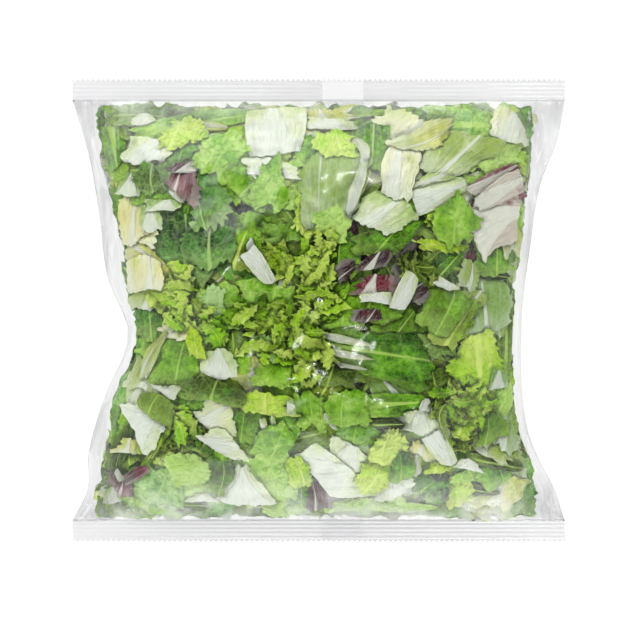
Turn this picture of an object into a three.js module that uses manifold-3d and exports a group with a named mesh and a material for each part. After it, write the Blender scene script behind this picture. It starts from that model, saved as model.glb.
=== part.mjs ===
// A clear pillow bag of mixed salad leaves, lying on its back on a table.
//
// One tube of film, closed down its back by a folded fin seal and across both ends by crimped, tooth-cut
// seals, holds a cushion of leaves. The bag can't be opened without tearing it, so the film and the leaves
// that fill it are one closed solid out to the film.
//
// Units are millimetres. X runs across the bag, Y towards its top seal, Z up from the table. The origin is
// on the table, under the middle of the bag.
import * as THREE from "three";
import { mergeVertices } from "three/addons/utils/BufferGeometryUtils.js";
import Module from "manifold-3d";

// Driving dimensions.
const BAG_WIDTH = 250; // the film tube laid flat, which is the length of both end seals
const BAG_HEIGHT = 235; // from tooth tips to tooth tips
const SEAL_DEPTH = 10.5; // crimped band across each end
const SEAL_THICKNESS = 0.8;
const SEAL_LEVEL = 27; // both end seals float this high above the table
const FILL_RISE = 47; // crown of the filling above the end seals
const SKIRT_THICKNESS = 1.2; // empty film beside the filling, where front and back lie together
const SKIRT_LEAST = 1; // even at the pinch, this much empty film is left beside the filling

const RIDGE_PITCH = 2; // crimp lines along the end seals
const RIDGE_RISE = 0.3;
const RIDGES = 4;
const TOOTH_PITCH = 2.6; // zigzag knife cut at both ends
const TOOTH_DEPTH = 1;

const FIN_START = 1.5; // the back seam's fold line, just beside the middle
const FIN_WIDTH = 21.5; // the fin lies flat towards +X
const FIN_THICKNESS = 0.7;
const FIN_BITE = 0.4; // how far the fin reaches into the bag, so that the two join
const SEAL_BITE = 1; // and each end seal
const GROOVE_WIDTH = 0.8; // beside the fin the film bridges down to the table
const GROOVE_DEPTH = 0.4;

// Roundness of the cushion. The film can't stretch, so its girth stays near twice BAG_WIDTH from end to
// end: the cushion swells steeply from its sides, but slowly from the end seals.
const ACROSS = { power: 2.5, crown: 0.6 };
const ALONG = { power: 2.2, crown: 0.8 };
const FLAT_FROM = 0.74; // share of the cushion's height profile past which the underside lies on the table
const SOLE_POWER = 1.6;

// Waves in the film: how high, and how long across and along the bag.
const LUMPS = [
  { height: 0.7, across: 82, along: 107 },
  { height: 0.7, across: 82, along: -107 },
  { height: 0.5, across: 140, along: -56 },
  { height: 0.5, across: 230, along: 62 },
];
const RIPPLES = [
  { height: 1.6, across: 232, along: 69 },
  { height: 1, across: -182, along: 33 },
];
const RIPPLE_EDGE_POWER = 3; // the empty film ripples most at its outer edge, and not beside the end seals
const RIPPLE_SEAL_POWER = 4;

// Outlines seen from above, each as [y, x] from the top seal down. The full bag draws the film in at the
// sides, most at a pinch on the left just below the middle.
const FILM_LEFT = [
  [107, -125],
  [80, -117],
  [50, -111.5],
  [16, -107],
  [-12, -96.5],
  [-46, -109.5],
  [-74, -117],
  [-90, -117],
  [-107, -125],
];
const FILM_RIGHT = [
  [107, 125],
  [86, 121],
  [64, 112.5],
  [33, 107.5],
  [-5, 103],
  [-58, 105.5],
  [-74, 111],
  [-89, 119],
  [-107, 125],
];
// The filling stops short of the film's edge where that edge flares out to the corners.
const FILL_LEFT = [
  [107, -104],
  [84, -111],
  [50, -104.5],
  [16, -99.5],
  [-12, -95.5],
  [-46, -105.5],
  [-84, -111],
  [-107, -106],
];
const FILL_RIGHT = [
  [107, 99],
  [84, 108],
  [50, 105.5],
  [16, 103],
  [-12, 102.2],
  [-58, 104.7],
  [-80, 110],
  [-107, 101],
];

// How finely the cushion is divided.
const ROWS = 40;
const FILL_COLUMNS = 34;
const SKIRT_COLUMNS = 3;
const SLIVER = 0.03; // joins and cuts leave thin triangles, which are merged away below this width
const MERGE_DISTANCE = 1e-4;

const SEAL_ROOT = BAG_HEIGHT / 2 - SEAL_DEPTH; // where the end seals begin, as a distance from the middle

const wasm = await Module();
wasm.setup();

// A smooth curve x(y) through [y, x] points that run from high y to low y.
function outline(points) {
  const upwards = [...points].reverse();
  const curve = new THREE.CubicInterpolant(
    upwards.map(([y]) => y),
    upwards.map(([, x]) => x),
    1,
  );
  return (y) => curve.evaluate(y)[0];
}
const filmLeft = outline(FILM_LEFT);
const filmRight = outline(FILM_RIGHT);
const fillLeft = outline(FILL_LEFT);
const fillRight = outline(FILL_RIGHT);

// How full the cushion is at a place seen from above: 0 at its outline, 1 at its middle.
function fullness(x, y) {
  const left = fillLeft(y);
  const right = fillRight(y);
  const across = Math.abs((2 * x - left - right) / (right - left));
  const along = Math.abs(y / SEAL_ROOT);
  if (across >= 1 || along >= 1) return 0;
  return (1 - across ** ACROSS.power) ** ACROSS.crown * (1 - along ** ALONG.power) ** ALONG.crown;
}

function waveHeight(waves, x, y) {
  const turns = (wave) => x / wave.across + y / wave.along;
  return waves.reduce((sum, wave) => sum + wave.height * Math.sin(2 * Math.PI * turns(wave)), 0);
}

// Height of the middle between front and back film. It is level at the end seals and ripples between them.
function midLevel(x, y) {
  const awayFromSeals = 1 - Math.abs(y / SEAL_ROOT) ** RIPPLE_SEAL_POWER;
  const nearEdge = Math.abs(x / (BAG_WIDTH / 2)) ** RIPPLE_EDGE_POWER;
  return SEAL_LEVEL + waveHeight(RIPPLES, x, y) * awayFromSeals * nearEdge;
}

function frontHeight(x, y) {
  const crown = FILL_RISE - SKIRT_THICKNESS / 2 + waveHeight(LUMPS, x, y);
  return midLevel(x, y) + SKIRT_THICKNESS / 2 + crown * fullness(x, y);
}

// The underside comes down to the table and lies flat on it.
function backHeight(x, y) {
  const pressed = Math.min(1, fullness(x, y) / FLAT_FROM);
  return (midLevel(x, y) - SKIRT_THICKNESS / 2) * (1 - pressed) ** SOLE_POWER;
}

// Places across the bag at one row: a few over the empty film on each side, and between them the filling,
// which is divided most finely where it curves down to its edge.
function columnsAt(y) {
  const left = Math.max(fillLeft(y), filmLeft(y) + SKIRT_LEAST);
  const right = Math.min(fillRight(y), filmRight(y) - SKIRT_LEAST);
  const places = [];
  for (let i = 0; i < SKIRT_COLUMNS; i++) {
    places.push(THREE.MathUtils.lerp(filmLeft(y), left, i / SKIRT_COLUMNS));
  }
  for (let i = 0; i <= FILL_COLUMNS; i++) {
    const share = (1 - Math.cos((Math.PI * i) / FILL_COLUMNS)) / 2;
    places.push(THREE.MathUtils.lerp(left, right, share));
  }
  for (let i = 1; i <= SKIRT_COLUMNS; i++) {
    places.push(THREE.MathUtils.lerp(right, filmRight(y), i / SKIRT_COLUMNS));
  }
  return places;
}

// Turns a geometry whose shared vertices can be merged into a manifold-3d solid.
function solid(geometry) {
  const bare = geometry.clone();
  bare.deleteAttribute("normal");
  bare.deleteAttribute("uv");
  const merged = mergeVertices(bare, MERGE_DISTANCE);
  return new wasm.Manifold(
    new wasm.Mesh({
      numProp: 3,
      vertProperties: new Float32Array(merged.attributes.position.array),
      triVerts: new Uint32Array(merged.index.array),
    }),
  );
}

// A closed solid between two sheets of points, front over back, each a grid of rows by columns.
function solidBetween(front, back) {
  const rows = front.length;
  const columns = front[0].length;
  const corners = [...front.flat(), ...back.flat()];
  const at = (sheet, row, column) => (sheet * rows + row) * columns + column;
  const index = [];
  const quad = (a, b, c, d) => index.push(a, b, c, a, c, d);
  for (let r = 0; r + 1 < rows; r++) {
    for (let c = 0; c + 1 < columns; c++) {
      quad(at(0, r, c), at(0, r, c + 1), at(0, r + 1, c + 1), at(0, r + 1, c));
      quad(at(1, r, c), at(1, r + 1, c), at(1, r + 1, c + 1), at(1, r, c + 1));
    }
    quad(at(0, r, 0), at(0, r + 1, 0), at(1, r + 1, 0), at(1, r, 0));
    quad(at(0, r, columns - 1), at(1, r, columns - 1), at(1, r + 1, columns - 1), at(0, r + 1, columns - 1));
  }
  for (let c = 0; c + 1 < columns; c++) {
    quad(at(0, 0, c), at(1, 0, c), at(1, 0, c + 1), at(0, 0, c + 1));
    quad(at(0, rows - 1, c), at(0, rows - 1, c + 1), at(1, rows - 1, c + 1), at(1, rows - 1, c));
  }
  const geometry = new THREE.BufferGeometry().setFromPoints(corners.map((p) => new THREE.Vector3(...p)));
  geometry.setIndex(index);
  return solid(geometry);
}

// The cushion of leaves inside its film, from one end seal to the other. Rows crowd towards the seals.
function makeCushion() {
  const front = [];
  const back = [];
  for (let r = 0; r <= ROWS; r++) {
    const y = -SEAL_ROOT * Math.cos((Math.PI * r) / ROWS);
    const places = columnsAt(y);
    front.push(places.map((x) => [x, y, frontHeight(x, y)]));
    back.push(places.map((x) => [x, y, backHeight(x, y)]));
  }
  return solidBetween(front, back);
}

// One end seal: a flat band pressed into ridges that run along it, up to the knife cut.
function makeEndSeal(end) {
  const wave = [[SEAL_ROOT - SEAL_BITE, 0]];
  for (let i = 0; i <= 2 * RIDGES; i++) {
    const rise = i % 2 ? RIDGE_RISE : -RIDGE_RISE;
    wave.push([SEAL_ROOT + (i * RIDGE_PITCH) / 2, i < 2 * RIDGES ? rise : 0]);
  }
  wave.push([BAG_HEIGHT / 2 + TOOTH_DEPTH, 0]);
  const profile = new THREE.Shape([
    ...wave.map(([y, z]) => new THREE.Vector2(y, z - SEAL_THICKNESS / 2)),
    ...wave.reverse().map(([y, z]) => new THREE.Vector2(y, z + SEAL_THICKNESS / 2)),
  ]);
  const band = new THREE.ExtrudeGeometry(profile, { depth: BAG_WIDTH, bevelEnabled: false });
  band.translate(0, 0, -BAG_WIDTH / 2);
  band.rotateX(Math.PI / 2);
  band.rotateZ(Math.PI / 2); // the profile now stands along Y and Z, and the band runs along X
  if (end < 0) band.rotateZ(Math.PI);
  band.translate(0, 0, SEAL_LEVEL);
  return solid(band);
}

// The back seam: a strip folded flat against the back of the bag, and pressed flush where the bag rests.
function makeFin() {
  const front = [];
  const back = [];
  for (let r = 0; r <= ROWS; r++) {
    const y = -(BAG_HEIGHT / 2 + TOOTH_DEPTH) * Math.cos((Math.PI * r) / ROWS);
    const places = [FIN_START, FIN_START + FIN_WIDTH / 2, FIN_START + FIN_WIDTH];
    const within = THREE.MathUtils.clamp(y, -SEAL_ROOT, SEAL_ROOT);
    const under = (x) => backHeight(x, within);
    front.push(places.map((x) => [x, y, under(x) + FIN_BITE]));
    back.push(places.map((x) => [x, y, Math.max(0, under(x) - FIN_THICKNESS)]));
  }
  return solidBetween(front, back);
}

// The bag's plan, with the zigzag knife cut at both ends, as a tall block.
function makePlan() {
  const teeth = Math.round(BAG_WIDTH / TOOTH_PITCH);
  const cut = [];
  for (let i = 0; i <= 2 * teeth; i++) {
    const x = BAG_WIDTH * (i / (2 * teeth) - 0.5);
    cut.push(new THREE.Vector2(x, BAG_HEIGHT / 2 - (i % 2 ? 0 : TOOTH_DEPTH)));
  }
  const opposite = cut.map((p) => new THREE.Vector2(-p.x, -p.y));
  const height = SEAL_LEVEL + 2 * FILL_RISE;
  const block = new THREE.ExtrudeGeometry(new THREE.Shape([...opposite, ...cut].reverse()), {
    depth: height,
    bevelEnabled: false,
  });
  block.translate(0, 0, -FILL_RISE / 2);
  return solid(block);
}

// A shallow groove under one edge of the fin, along the stretch that lies on the table.
function makeGroove(x) {
  const groove = new THREE.BoxGeometry(GROOVE_WIDTH, SEAL_ROOT, 2 * GROOVE_DEPTH);
  groove.translate(x, 0, 0);
  return solid(groove);
}

function makeBag() {
  const joined = makeCushion().add(makeEndSeal(1)).add(makeEndSeal(-1)).add(makeFin());
  const grooved = joined.subtract(makeGroove(FIN_START)).subtract(makeGroove(FIN_START + FIN_WIDTH));
  const cut = grooved.intersect(makePlan()).simplify(SLIVER).getMesh();
  const geometry = new THREE.BufferGeometry();
  geometry.setAttribute("position", new THREE.BufferAttribute(cut.vertProperties, 3));
  geometry.setIndex(new THREE.BufferAttribute(cut.triVerts, 1));
  geometry.computeVertexNormals();
  const film = new THREE.MeshStandardMaterial({
    color: 0x8fae5c,
    roughness: 0.25,
    metalness: 0,
  });
  const bag = new THREE.Mesh(geometry, film);
  bag.name = "salad_bag";
  return bag;
}

const part = new THREE.Group();
part.add(makeBag());

export default part;
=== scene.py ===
# %% [markdown]
# # A clear pillow bag of mixed salad leaves
# The real bag is one tube of thin clear film. A sealing jaw has crimped it shut across both ends, and a
# fin seam runs down its back. Inside lie a few hundred pieces of cut escarole, sugarloaf, frisee and red
# chicory. In this lesson the CAD solid gives the bag's outer form, and we replace it with what it stands
# for: film on the outside, leaves pressed against it, and a smaller mass of leaves that nobody sees.

# %% Load the fixed frame
import math
from types import SimpleNamespace

import bmesh
import bpy
import numpy as np
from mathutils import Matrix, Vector
from mathutils.bvhtree import BVHTree


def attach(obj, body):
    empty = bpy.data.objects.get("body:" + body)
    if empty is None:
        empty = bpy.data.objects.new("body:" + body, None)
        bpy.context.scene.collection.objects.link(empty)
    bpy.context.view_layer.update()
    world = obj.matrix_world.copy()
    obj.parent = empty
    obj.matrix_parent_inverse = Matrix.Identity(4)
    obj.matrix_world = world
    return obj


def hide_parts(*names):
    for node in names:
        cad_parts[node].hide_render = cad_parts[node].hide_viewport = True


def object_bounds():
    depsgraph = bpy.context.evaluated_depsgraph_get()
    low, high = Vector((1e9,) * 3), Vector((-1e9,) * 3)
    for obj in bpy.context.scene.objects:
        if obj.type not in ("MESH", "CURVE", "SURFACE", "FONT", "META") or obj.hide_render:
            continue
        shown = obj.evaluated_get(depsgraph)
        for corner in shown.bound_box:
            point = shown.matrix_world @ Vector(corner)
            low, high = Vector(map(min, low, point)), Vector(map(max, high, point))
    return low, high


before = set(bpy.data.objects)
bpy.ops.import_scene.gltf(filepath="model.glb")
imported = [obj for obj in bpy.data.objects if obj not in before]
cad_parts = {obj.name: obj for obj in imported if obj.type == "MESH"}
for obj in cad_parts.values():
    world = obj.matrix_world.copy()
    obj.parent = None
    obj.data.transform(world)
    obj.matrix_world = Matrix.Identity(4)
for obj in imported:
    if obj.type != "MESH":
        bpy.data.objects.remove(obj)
cad_low, cad_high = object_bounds()
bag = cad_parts["salad_bag"]
MM = 0.001
print("bag box in mm:", [round(n / MM, 1) for n in cad_high - cad_low])

# %% [markdown]
# ## Reading the bag's form
# Every piece has to lie against the bag's own surface, so we read it once into two height maps, one for the
# front film and one for the back. A vertical ray finds each height. Between the map's points we read it
# bilinearly, which is much faster than a ray for each of the many vertices to come.

# %% Rays that find the bag's surface
SEAL_DEPTH = 10.5 * MM
CELL = 1 * MM  # the distance between two points of a height map
BESIDE = 140 * MM  # a distance from the middle that is surely beside the bag
HALVINGS = 12
root_y = cad_high.y - SEAL_DEPTH  # where the end seals begin
solid = BVHTree.FromPolygons([v.co for v in bag.data.vertices], [p.vertices for p in bag.data.polygons])


def heights(x, y):
    """Front and back height of the bag at a place seen from above, or None beside it."""
    front = solid.ray_cast(Vector((x, y, 1)), Vector((0, 0, -1)))[0]
    back = solid.ray_cast(Vector((x, y, -1)), Vector((0, 0, 1)))[0]
    return None if front is None or back is None else (front.z, back.z)


def edge_at(y, side, least):
    """How far out the bag is thicker than `least` at height y: side is -1 for left and 1 for right."""
    inside, outside = 0.0, side * BESIDE
    for _ in range(HALVINGS):
        middle = (inside + outside) / 2
        found = heights(middle, y)
        if found and found[0] - found[1] > least:
            inside = middle
        else:
            outside = middle
    return inside


print("front and back height at the middle in mm:", [round(n / MM, 1) for n in heights(0, 0)])

# %% Height maps of the front and the back
BLURS = 4
FILLED = 1.8 * MM  # where the bag is thicker than this, it holds leaves


def blurred(values):
    """A map averaged with its neighbours, which takes the facets out of it."""
    padded = np.pad(values, 1, mode="edge")
    rows = (padded[:-2] + 2 * padded[1:-1] + padded[2:]) / 4
    return (rows[:, :-2] + 2 * rows[:, 1:-1] + rows[:, 2:]) / 4


map_x = np.arange(cad_low.x, cad_high.x + CELL / 2, CELL)
map_y = np.arange(-root_y + 0.2 * MM, root_y, CELL)
front_map = np.zeros((len(map_y), len(map_x)))
back_map = np.zeros_like(front_map)
for row, y in enumerate(map_y):
    found = [heights(x, y) for x in map_x]
    there = [i for i, h in enumerate(found) if h]
    for table, face in ((front_map, 0), (back_map, 1)):
        table[row] = np.interp(map_x, map_x[there], [found[i][face] for i in there])
for _ in range(BLURS):
    front_map, back_map = blurred(front_map), blurred(back_map)
film_left, film_right = [np.array([edge_at(y, s, 0) for y in map_y]) for s in (-1, 1)]
fill_left, fill_right = [np.array([edge_at(y, s, FILLED) for y in map_y]) for s in (-1, 1)]
middle_map = (front_map + back_map) / 2
seal_level = float(front_map[0].mean() + back_map[0].mean()) / 2


def read(table, x, y):
    """Values of a map at many places at once."""
    column = np.clip((x - map_x[0]) / CELL, 0, len(map_x) - 1.001)
    row = np.clip((y - map_y[0]) / CELL, 0, len(map_y) - 1.001)
    i, j = column.astype(int), row.astype(int)
    s, t = column - i, row - j
    low = table[j, i] * (1 - s) + table[j, i + 1] * s
    high = table[j + 1, i] * (1 - s) + table[j + 1, i + 1] * s
    return low * (1 - t) + high * t


print("crown", round(front_map.max() / MM, 1), "mm, seals at", round(seal_level / MM, 1), "mm")

# %% [markdown]
# ## A helper for shader nodes
# A material is a chain of small nodes. These helpers keep each one to a line: `node` makes a node, sets its
# options and either links or sets each input, and the others are short names for the kinds used most.

# %% Shader helpers
def new_material(name):
    """A material with an empty node tree and its output node."""
    material = bpy.data.materials.new(name)
    material.use_nodes = True
    tree = material.node_tree
    tree.nodes.clear()
    return material, tree, tree.nodes.new("ShaderNodeOutputMaterial")


def node(tree, kind, inputs=None, **options):
    """One shader node, with its options set and its inputs linked or set."""
    made = tree.nodes.new("ShaderNode" + kind)
    for option, value in options.items():
        setattr(made, option, value)
    for key, value in (inputs or {}).items():
        if isinstance(value, bpy.types.NodeSocket):
            tree.links.new(value, made.inputs[key])
        else:
            made.inputs[key].default_value = value
    return made


def maths(tree, operation, a, b=0.0, c=0.0, clamp=False):
    """One sum on plain numbers or sockets."""
    made = node(tree, "Math", {0: a, 1: b, 2: c}, operation=operation)
    made.use_clamp = clamp
    return made.outputs[0]


def smooth(tree, value, low, high, start=0.0, end=1.0):
    """Runs smoothly from start to end while value goes from low to high."""
    inputs = {"Value": value, "From Min": low, "From Max": high, "To Min": start, "To Max": end}
    return node(tree, "MapRange", inputs, interpolation_type="SMOOTHSTEP").outputs["Result"]


def mixed(tree, share, a, b):
    """Two colours mixed by a share."""
    return node(tree, "Mix", {0: share, 6: a, 7: b}, data_type="RGBA").outputs[2]


def ramp(tree, value, stops):
    """A colour ramp through (position, colour) stops."""
    made = node(tree, "ValToRGB", {0: value})
    elements = made.color_ramp.elements
    while len(elements) < len(stops):
        elements.new(0.5)
    for element, (position, colour) in zip(elements, stops):
        element.position = position
        element.color = colour
    return made.outputs[0]


def noise(tree, where, scale, detail=3.0, distortion=0.0):
    """Cloudy noise from 0 to 1."""
    inputs = {"Vector": where, "Scale": scale, "Detail": detail, "Distortion": distortion}
    return node(tree, "TexNoise", inputs).outputs["Fac"]


def shade(red, green, blue):
    """A colour as mixed on a screen, from 0 to 255, made linear for the shader."""
    def linear(n):
        n /= 255
        return n / 12.92 if n <= 0.04045 else ((n + 0.055) / 1.055) ** 2.4
    return (linear(red), linear(green), linear(blue), 1.0)


print("a leaf green in linear light:", [round(n, 3) for n in shade(110, 182, 26)])

# %% [markdown]
# ## The finish of a leaf
# All the leaves share one way of being coloured. The leaf's own UV map runs across it and from its foot to
# its tip, so the midrib lies near the middle of U, and the side veins leave it on a slant. Between them lies
# a net of fine veins, drawn by the borders of Voronoi cells, and the blade puffs up a little inside each
# cell. Each leaf also carries four numbers in the attribute `tone`: how light it is, how yellow, how wide
# its midrib is, and one drawn at random that moves the patterns, so that no two leaves are alike.

# %% The veins of a leaf
def leaf_veins(tree, leaf, vein, side_veins):
    """Adds to a leaf's values how far out from its midrib a point lies, its midrib and its pale veins."""
    off_middle = maths(tree, "SUBTRACT", maths(tree, "FRACT", maths(tree, "MULTIPLY", leaf.own, 7.3)), 0.5)
    off_middle = maths(tree, "MULTIPLY", off_middle, maths(tree, "SUBTRACT", 1.0, leaf.rib_width))
    off_middle = maths(tree, "SUBTRACT", off_middle, 1.0)
    leaf.out = maths(tree, "ABSOLUTE", maths(tree, "MULTIPLY_ADD", leaf.u, 2.0, off_middle))
    taper = maths(tree, "MULTIPLY", leaf.rib_width, maths(tree, "MULTIPLY_ADD", leaf.v, -0.9, 1.1))
    leaf.midrib = smooth(tree, maths(tree, "SUBTRACT", leaf.out, taper), -0.03, 0.06, 1.0, 0.0)
    wobble = maths(tree, "MULTIPLY_ADD", leaf.cloud, 2.6, leaf.own)
    slant = maths(tree, "MULTIPLY_ADD", leaf.out, -1.8, wobble)
    turns = maths(tree, "FRACT", maths(tree, "MULTIPLY_ADD", leaf.v, side_veins, slant))
    ridge = maths(tree, "ABSOLUTE", maths(tree, "SUBTRACT", turns, 0.5))
    branches = smooth(tree, ridge, 0.02, 0.14, vein, 0.0)
    branches = maths(tree, "MULTIPLY", branches, smooth(tree, leaf.mottle, 0.35, 0.6))
    margin = smooth(tree, leaf.out, 0.85, 1.0, 0.0, 0.3)
    net = smooth(tree, leaf.cells, 0.0, 0.1, vein * 0.7, 0.0)
    leaf.branches = maths(tree, "MAXIMUM", maths(tree, "MAXIMUM", branches, margin), net)


def leaf_values(tree):
    """A leaf's own coordinates, the numbers of its tone, and the noises that its patterns share."""
    across_along = node(tree, "SeparateXYZ", {0: node(tree, "UVMap", uv_map="leaf").outputs[0]})
    tone = node(tree, "Attribute", attribute_name="tone")
    leaf = SimpleNamespace(u=across_along.outputs[0], v=across_along.outputs[1], own=tone.outputs["Alpha"])
    numbers = node(tree, "SeparateColor", {0: tone.outputs["Color"]}).outputs
    leaf.lightness, leaf.warmth, leaf.rib_width = numbers
    place = node(tree, "TexCoord").outputs["Object"]
    moved = node(tree, "VectorMath", {0: place, 1: tone.outputs["Color"]}, operation="ADD").outputs[0]
    leaf.cloud = noise(tree, moved, 75.0, 3.0)
    leaf.mottle = noise(tree, moved, 330.0, 4.0)
    flattened = node(tree, "Mapping", {"Vector": moved, "Scale": (1.0, 1.0, 0.3)}).outputs[0]
    net = node(tree, "TexVoronoi", {"Vector": flattened, "Scale": 270.0}, feature="DISTANCE_TO_EDGE")
    leaf.cells = net.outputs["Distance"]
    across, along = maths(tree, "MULTIPLY", leaf.u, 13.0), maths(tree, "MULTIPLY", leaf.v, 2.2)
    lengthwise = node(tree, "CombineXYZ", {0: across, 1: along, 2: leaf.own}).outputs[0]
    leaf.streaks = noise(tree, lengthwise, 1.0, 3.0, 0.3)
    return leaf


# %% [markdown]
# A blade's shade comes from a ramp that starts at its darkest green. The leaf's lightness picks the place on
# it, and two noises move that place up and down. Pale hearts turn greener towards their margin and tip. The
# ribs and veins then lie over the blade in their own colour. The furrows between the fibres are darker,
# partly the leaf's own tone and partly painted shade. In the relief the veins stand up, the blade puffs up
# between them, and fibres run along a rib. A share of the shading is translucent, because light passes
# through a real leaf too.

# %% The colour and relief of a leaf
def blade_colour(tree, leaf, shades, yellow, mottling, green_edge):
    """The colour between the veins."""
    depth = maths(tree, "MULTIPLY_ADD", leaf.lightness, 1.9, -1.35)
    depth = maths(tree, "MULTIPLY_ADD", leaf.cloud, 1.6, depth)
    depth = maths(tree, "SUBTRACT", depth, mottling / 2)
    depth = maths(tree, "MULTIPLY_ADD", leaf.mottle, mottling, depth, clamp=True)
    outwards = smooth(tree, leaf.out, 0.35, 1.0, 0.0, 0.6)
    outwards = maths(tree, "ADD", outwards, smooth(tree, leaf.v, 0.4, 1.0, 0.0, 0.6))
    turning = maths(tree, "MULTIPLY", outwards, smooth(tree, leaf.cloud, 0.35, 0.6, 0.0, green_edge))
    depth = maths(tree, "SUBTRACT", depth, turning, clamp=True)
    blade = ramp(tree, depth, [(n / (len(shades) - 1), shade(*colour)) for n, colour in enumerate(shades)])
    cast = maths(tree, "MULTIPLY_ADD", leaf.cloud, 0.9, 0.25)
    return mixed(tree, maths(tree, "MULTIPLY", leaf.warmth, cast, clamp=True), blade, shade(*yellow))


def leaf_material(name, shades, yellow, rib, vein=0.3, streak=0.3, foot_share=0.45, side_veins=4.0,
                  furrow_tone_and_shade=0.12, mottling=1.05, puff=2.2, ribbed=0.4, green_edge=0.0, glow_share=0.25):
    """A leaf: blade shades from dark to light, a yellow cast, and the colour of its ribs."""
    material, tree, output = new_material(name)
    leaf = leaf_values(tree)
    leaf_veins(tree, leaf, vein, side_veins)
    blade = blade_colour(tree, leaf, shades, yellow, mottling, green_edge)
    foot = smooth(tree, leaf.v, 0.0, 0.55, foot_share, 0.0)
    fibres = maths(tree, "MULTIPLY", smooth(tree, leaf.streaks, 0.45, 0.7), streak)
    pale = maths(tree, "MAXIMUM", leaf.midrib, maths(tree, "MAXIMUM", leaf.branches, fibres))
    pale = maths(tree, "ADD", pale, foot, clamp=True)
    rib_shade = mixed(tree, maths(tree, "MULTIPLY", leaf.streaks, 0.35), shade(*rib), blade)
    # Darker furrows between the fibres: partly the leaf's own tone, partly painted shade.
    toned_and_shaded_furrows = smooth(tree, leaf.streaks, 0.3, 0.5, furrow_tone_and_shade, 0.0)
    colour = mixed(tree, toned_and_shaded_furrows, mixed(tree, pale, blade, rib_shade), (0.0, 0.0, 0.0, 1.0))

    relief = maths(tree, "MULTIPLY_ADD", pale, 0.5, maths(tree, "MULTIPLY", leaf.mottle, 0.7 * mottling))
    relief = maths(tree, "MULTIPLY_ADD", leaf.streaks, ribbed, relief)
    puffed = maths(tree, "MINIMUM", leaf.cells, 0.3)
    puffed = maths(tree, "MULTIPLY", puffed, maths(tree, "SUBTRACT", 1.0, leaf.midrib))
    relief = maths(tree, "MULTIPLY_ADD", puffed, puff, relief)
    bump = node(tree, "Bump", {"Height": relief, "Distance": 1.5 * MM, "Strength": 0.9}).outputs[0]
    rough = maths(tree, "MULTIPLY_ADD", leaf.mottle, 0.25, 0.28)
    surface = node(tree, "BsdfPrincipled", {"Base Color": colour, "Roughness": rough, "Normal": bump})
    surface.inputs["Specular IOR Level"].default_value = 0.09
    glow = node(tree, "BsdfTranslucent", {"Color": colour, "Normal": bump})
    both = node(tree, "MixShader", {0: glow_share, 1: surface.outputs[0], 2: glow.outputs[0]})
    tree.links.new(both.outputs[0], output.inputs["Surface"])
    return material


# %% Five leaf finishes
green = leaf_material("escarole_green", ((4, 34, 0), (48, 116, 0), (110, 182, 26), (194, 228, 128)),
                      (164, 212, 8), (184, 220, 104), streak=0.2)
cool = leaf_material("endive_cool_green", ((6, 42, 4), (54, 120, 28), (110, 176, 70), (186, 222, 148)),
                     (150, 204, 20), (184, 218, 130), vein=0.35, streak=0.15, side_veins=5.0)
frilly = leaf_material("frisee_yellow_green", ((20, 84, 0), (92, 180, 0), (156, 220, 20), (208, 234, 124)),
                       (196, 224, 8), (220, 238, 124), vein=0.2, streak=0.2)
pale = leaf_material("heart_leaf_cream", ((126, 172, 62), (188, 216, 132), (226, 236, 192), (238, 243, 234)),
                     (240, 232, 100), (234, 240, 227), vein=0.22, side_veins=3.0, furrow_tone_and_shade=0.08, mottling=0.5,
                     puff=0.7, ribbed=1.1, green_edge=0.55, glow_share=0.3)
red = leaf_material("chicory_wine_red", ((50, 0, 14), (104, 4, 34), (140, 44, 66), (220, 214, 196)),
                    (110, 40, 40), (234, 238, 222), vein=0.12, foot_share=0.2, mottling=0.7, puff=0.8,
                    ribbed=1.2)
print("leaf finishes:", green.name, cool.name, frilly.name, pale.name, red.name)

# %% [markdown]
# ## Shaping one leaf
# A cut salad leaf is a four-sided piece of sheet: two sides are the cook's straight cuts, the others are the
# leaf's own margin, which may be toothed. We start from a flat grid, stretch it between four corners, round
# the corners that a knife didn't make, tear or tooth the edge, and then ruffle, crumple and bend it. Each
# step is a line or two on arrays, so a leaf of a thousand vertices is shaped at once.

# %% The numbers that make a leaf's shape
PLAIN_LEAF = dict(
    foot_round=0.0,  # how much the corners at the foot are rounded
    tip_round=0.2,  # the same at the tip
    bulge=0.04,  # how far the sides bow out, as a share of the length
    tip_bulge=0.06,  # how far the tip bows out, as a share of the length
    lean=0.0,  # how far the middle bows to the right, as a share of the length
    torn=0.05,  # how uneven the edge is, as a share of the leaf
    teeth=0,  # how many teeth the edge has from foot to tip
    tooth=0.0,  # how deep they are, in mm
    ruffle=0.6,  # how high the edge ripples, in mm
    ruffles=3,  # how many ripples there are from foot to tip
    crumple=1.0,  # how high the blade is crumpled, in mm
    cup=0.08,  # how far both sides turn away from the film
    bend=0.08,  # how far foot and tip turn away from the film
    tilt=0.12,  # the steepest slope that the leaf may have
    curl=0.0,  # how high it curls along its length, in mm
)
LARGE_HUMP, SMALL_HUMP = 17 * MM, 7 * MM  # wavelengths of the crumpling


def waves(rng, length, count=6):
    """A smooth random surface f(x, y) between about -1 and 1, with humps about half of `length` wide."""
    turns = rng.uniform(0, 2 * math.pi, count)
    ways = rng.uniform(0, 2 * math.pi, count)
    lengths = length * rng.uniform(0.7, 1.5, count)

    def surface(x, y):
        along = np.outer(x, np.cos(ways)) + np.outer(y, np.sin(ways))
        total = np.sin(2 * math.pi * along / lengths + turns).sum(1) / math.sqrt(count)
        return total.reshape(np.shape(x))

    return surface


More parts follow.
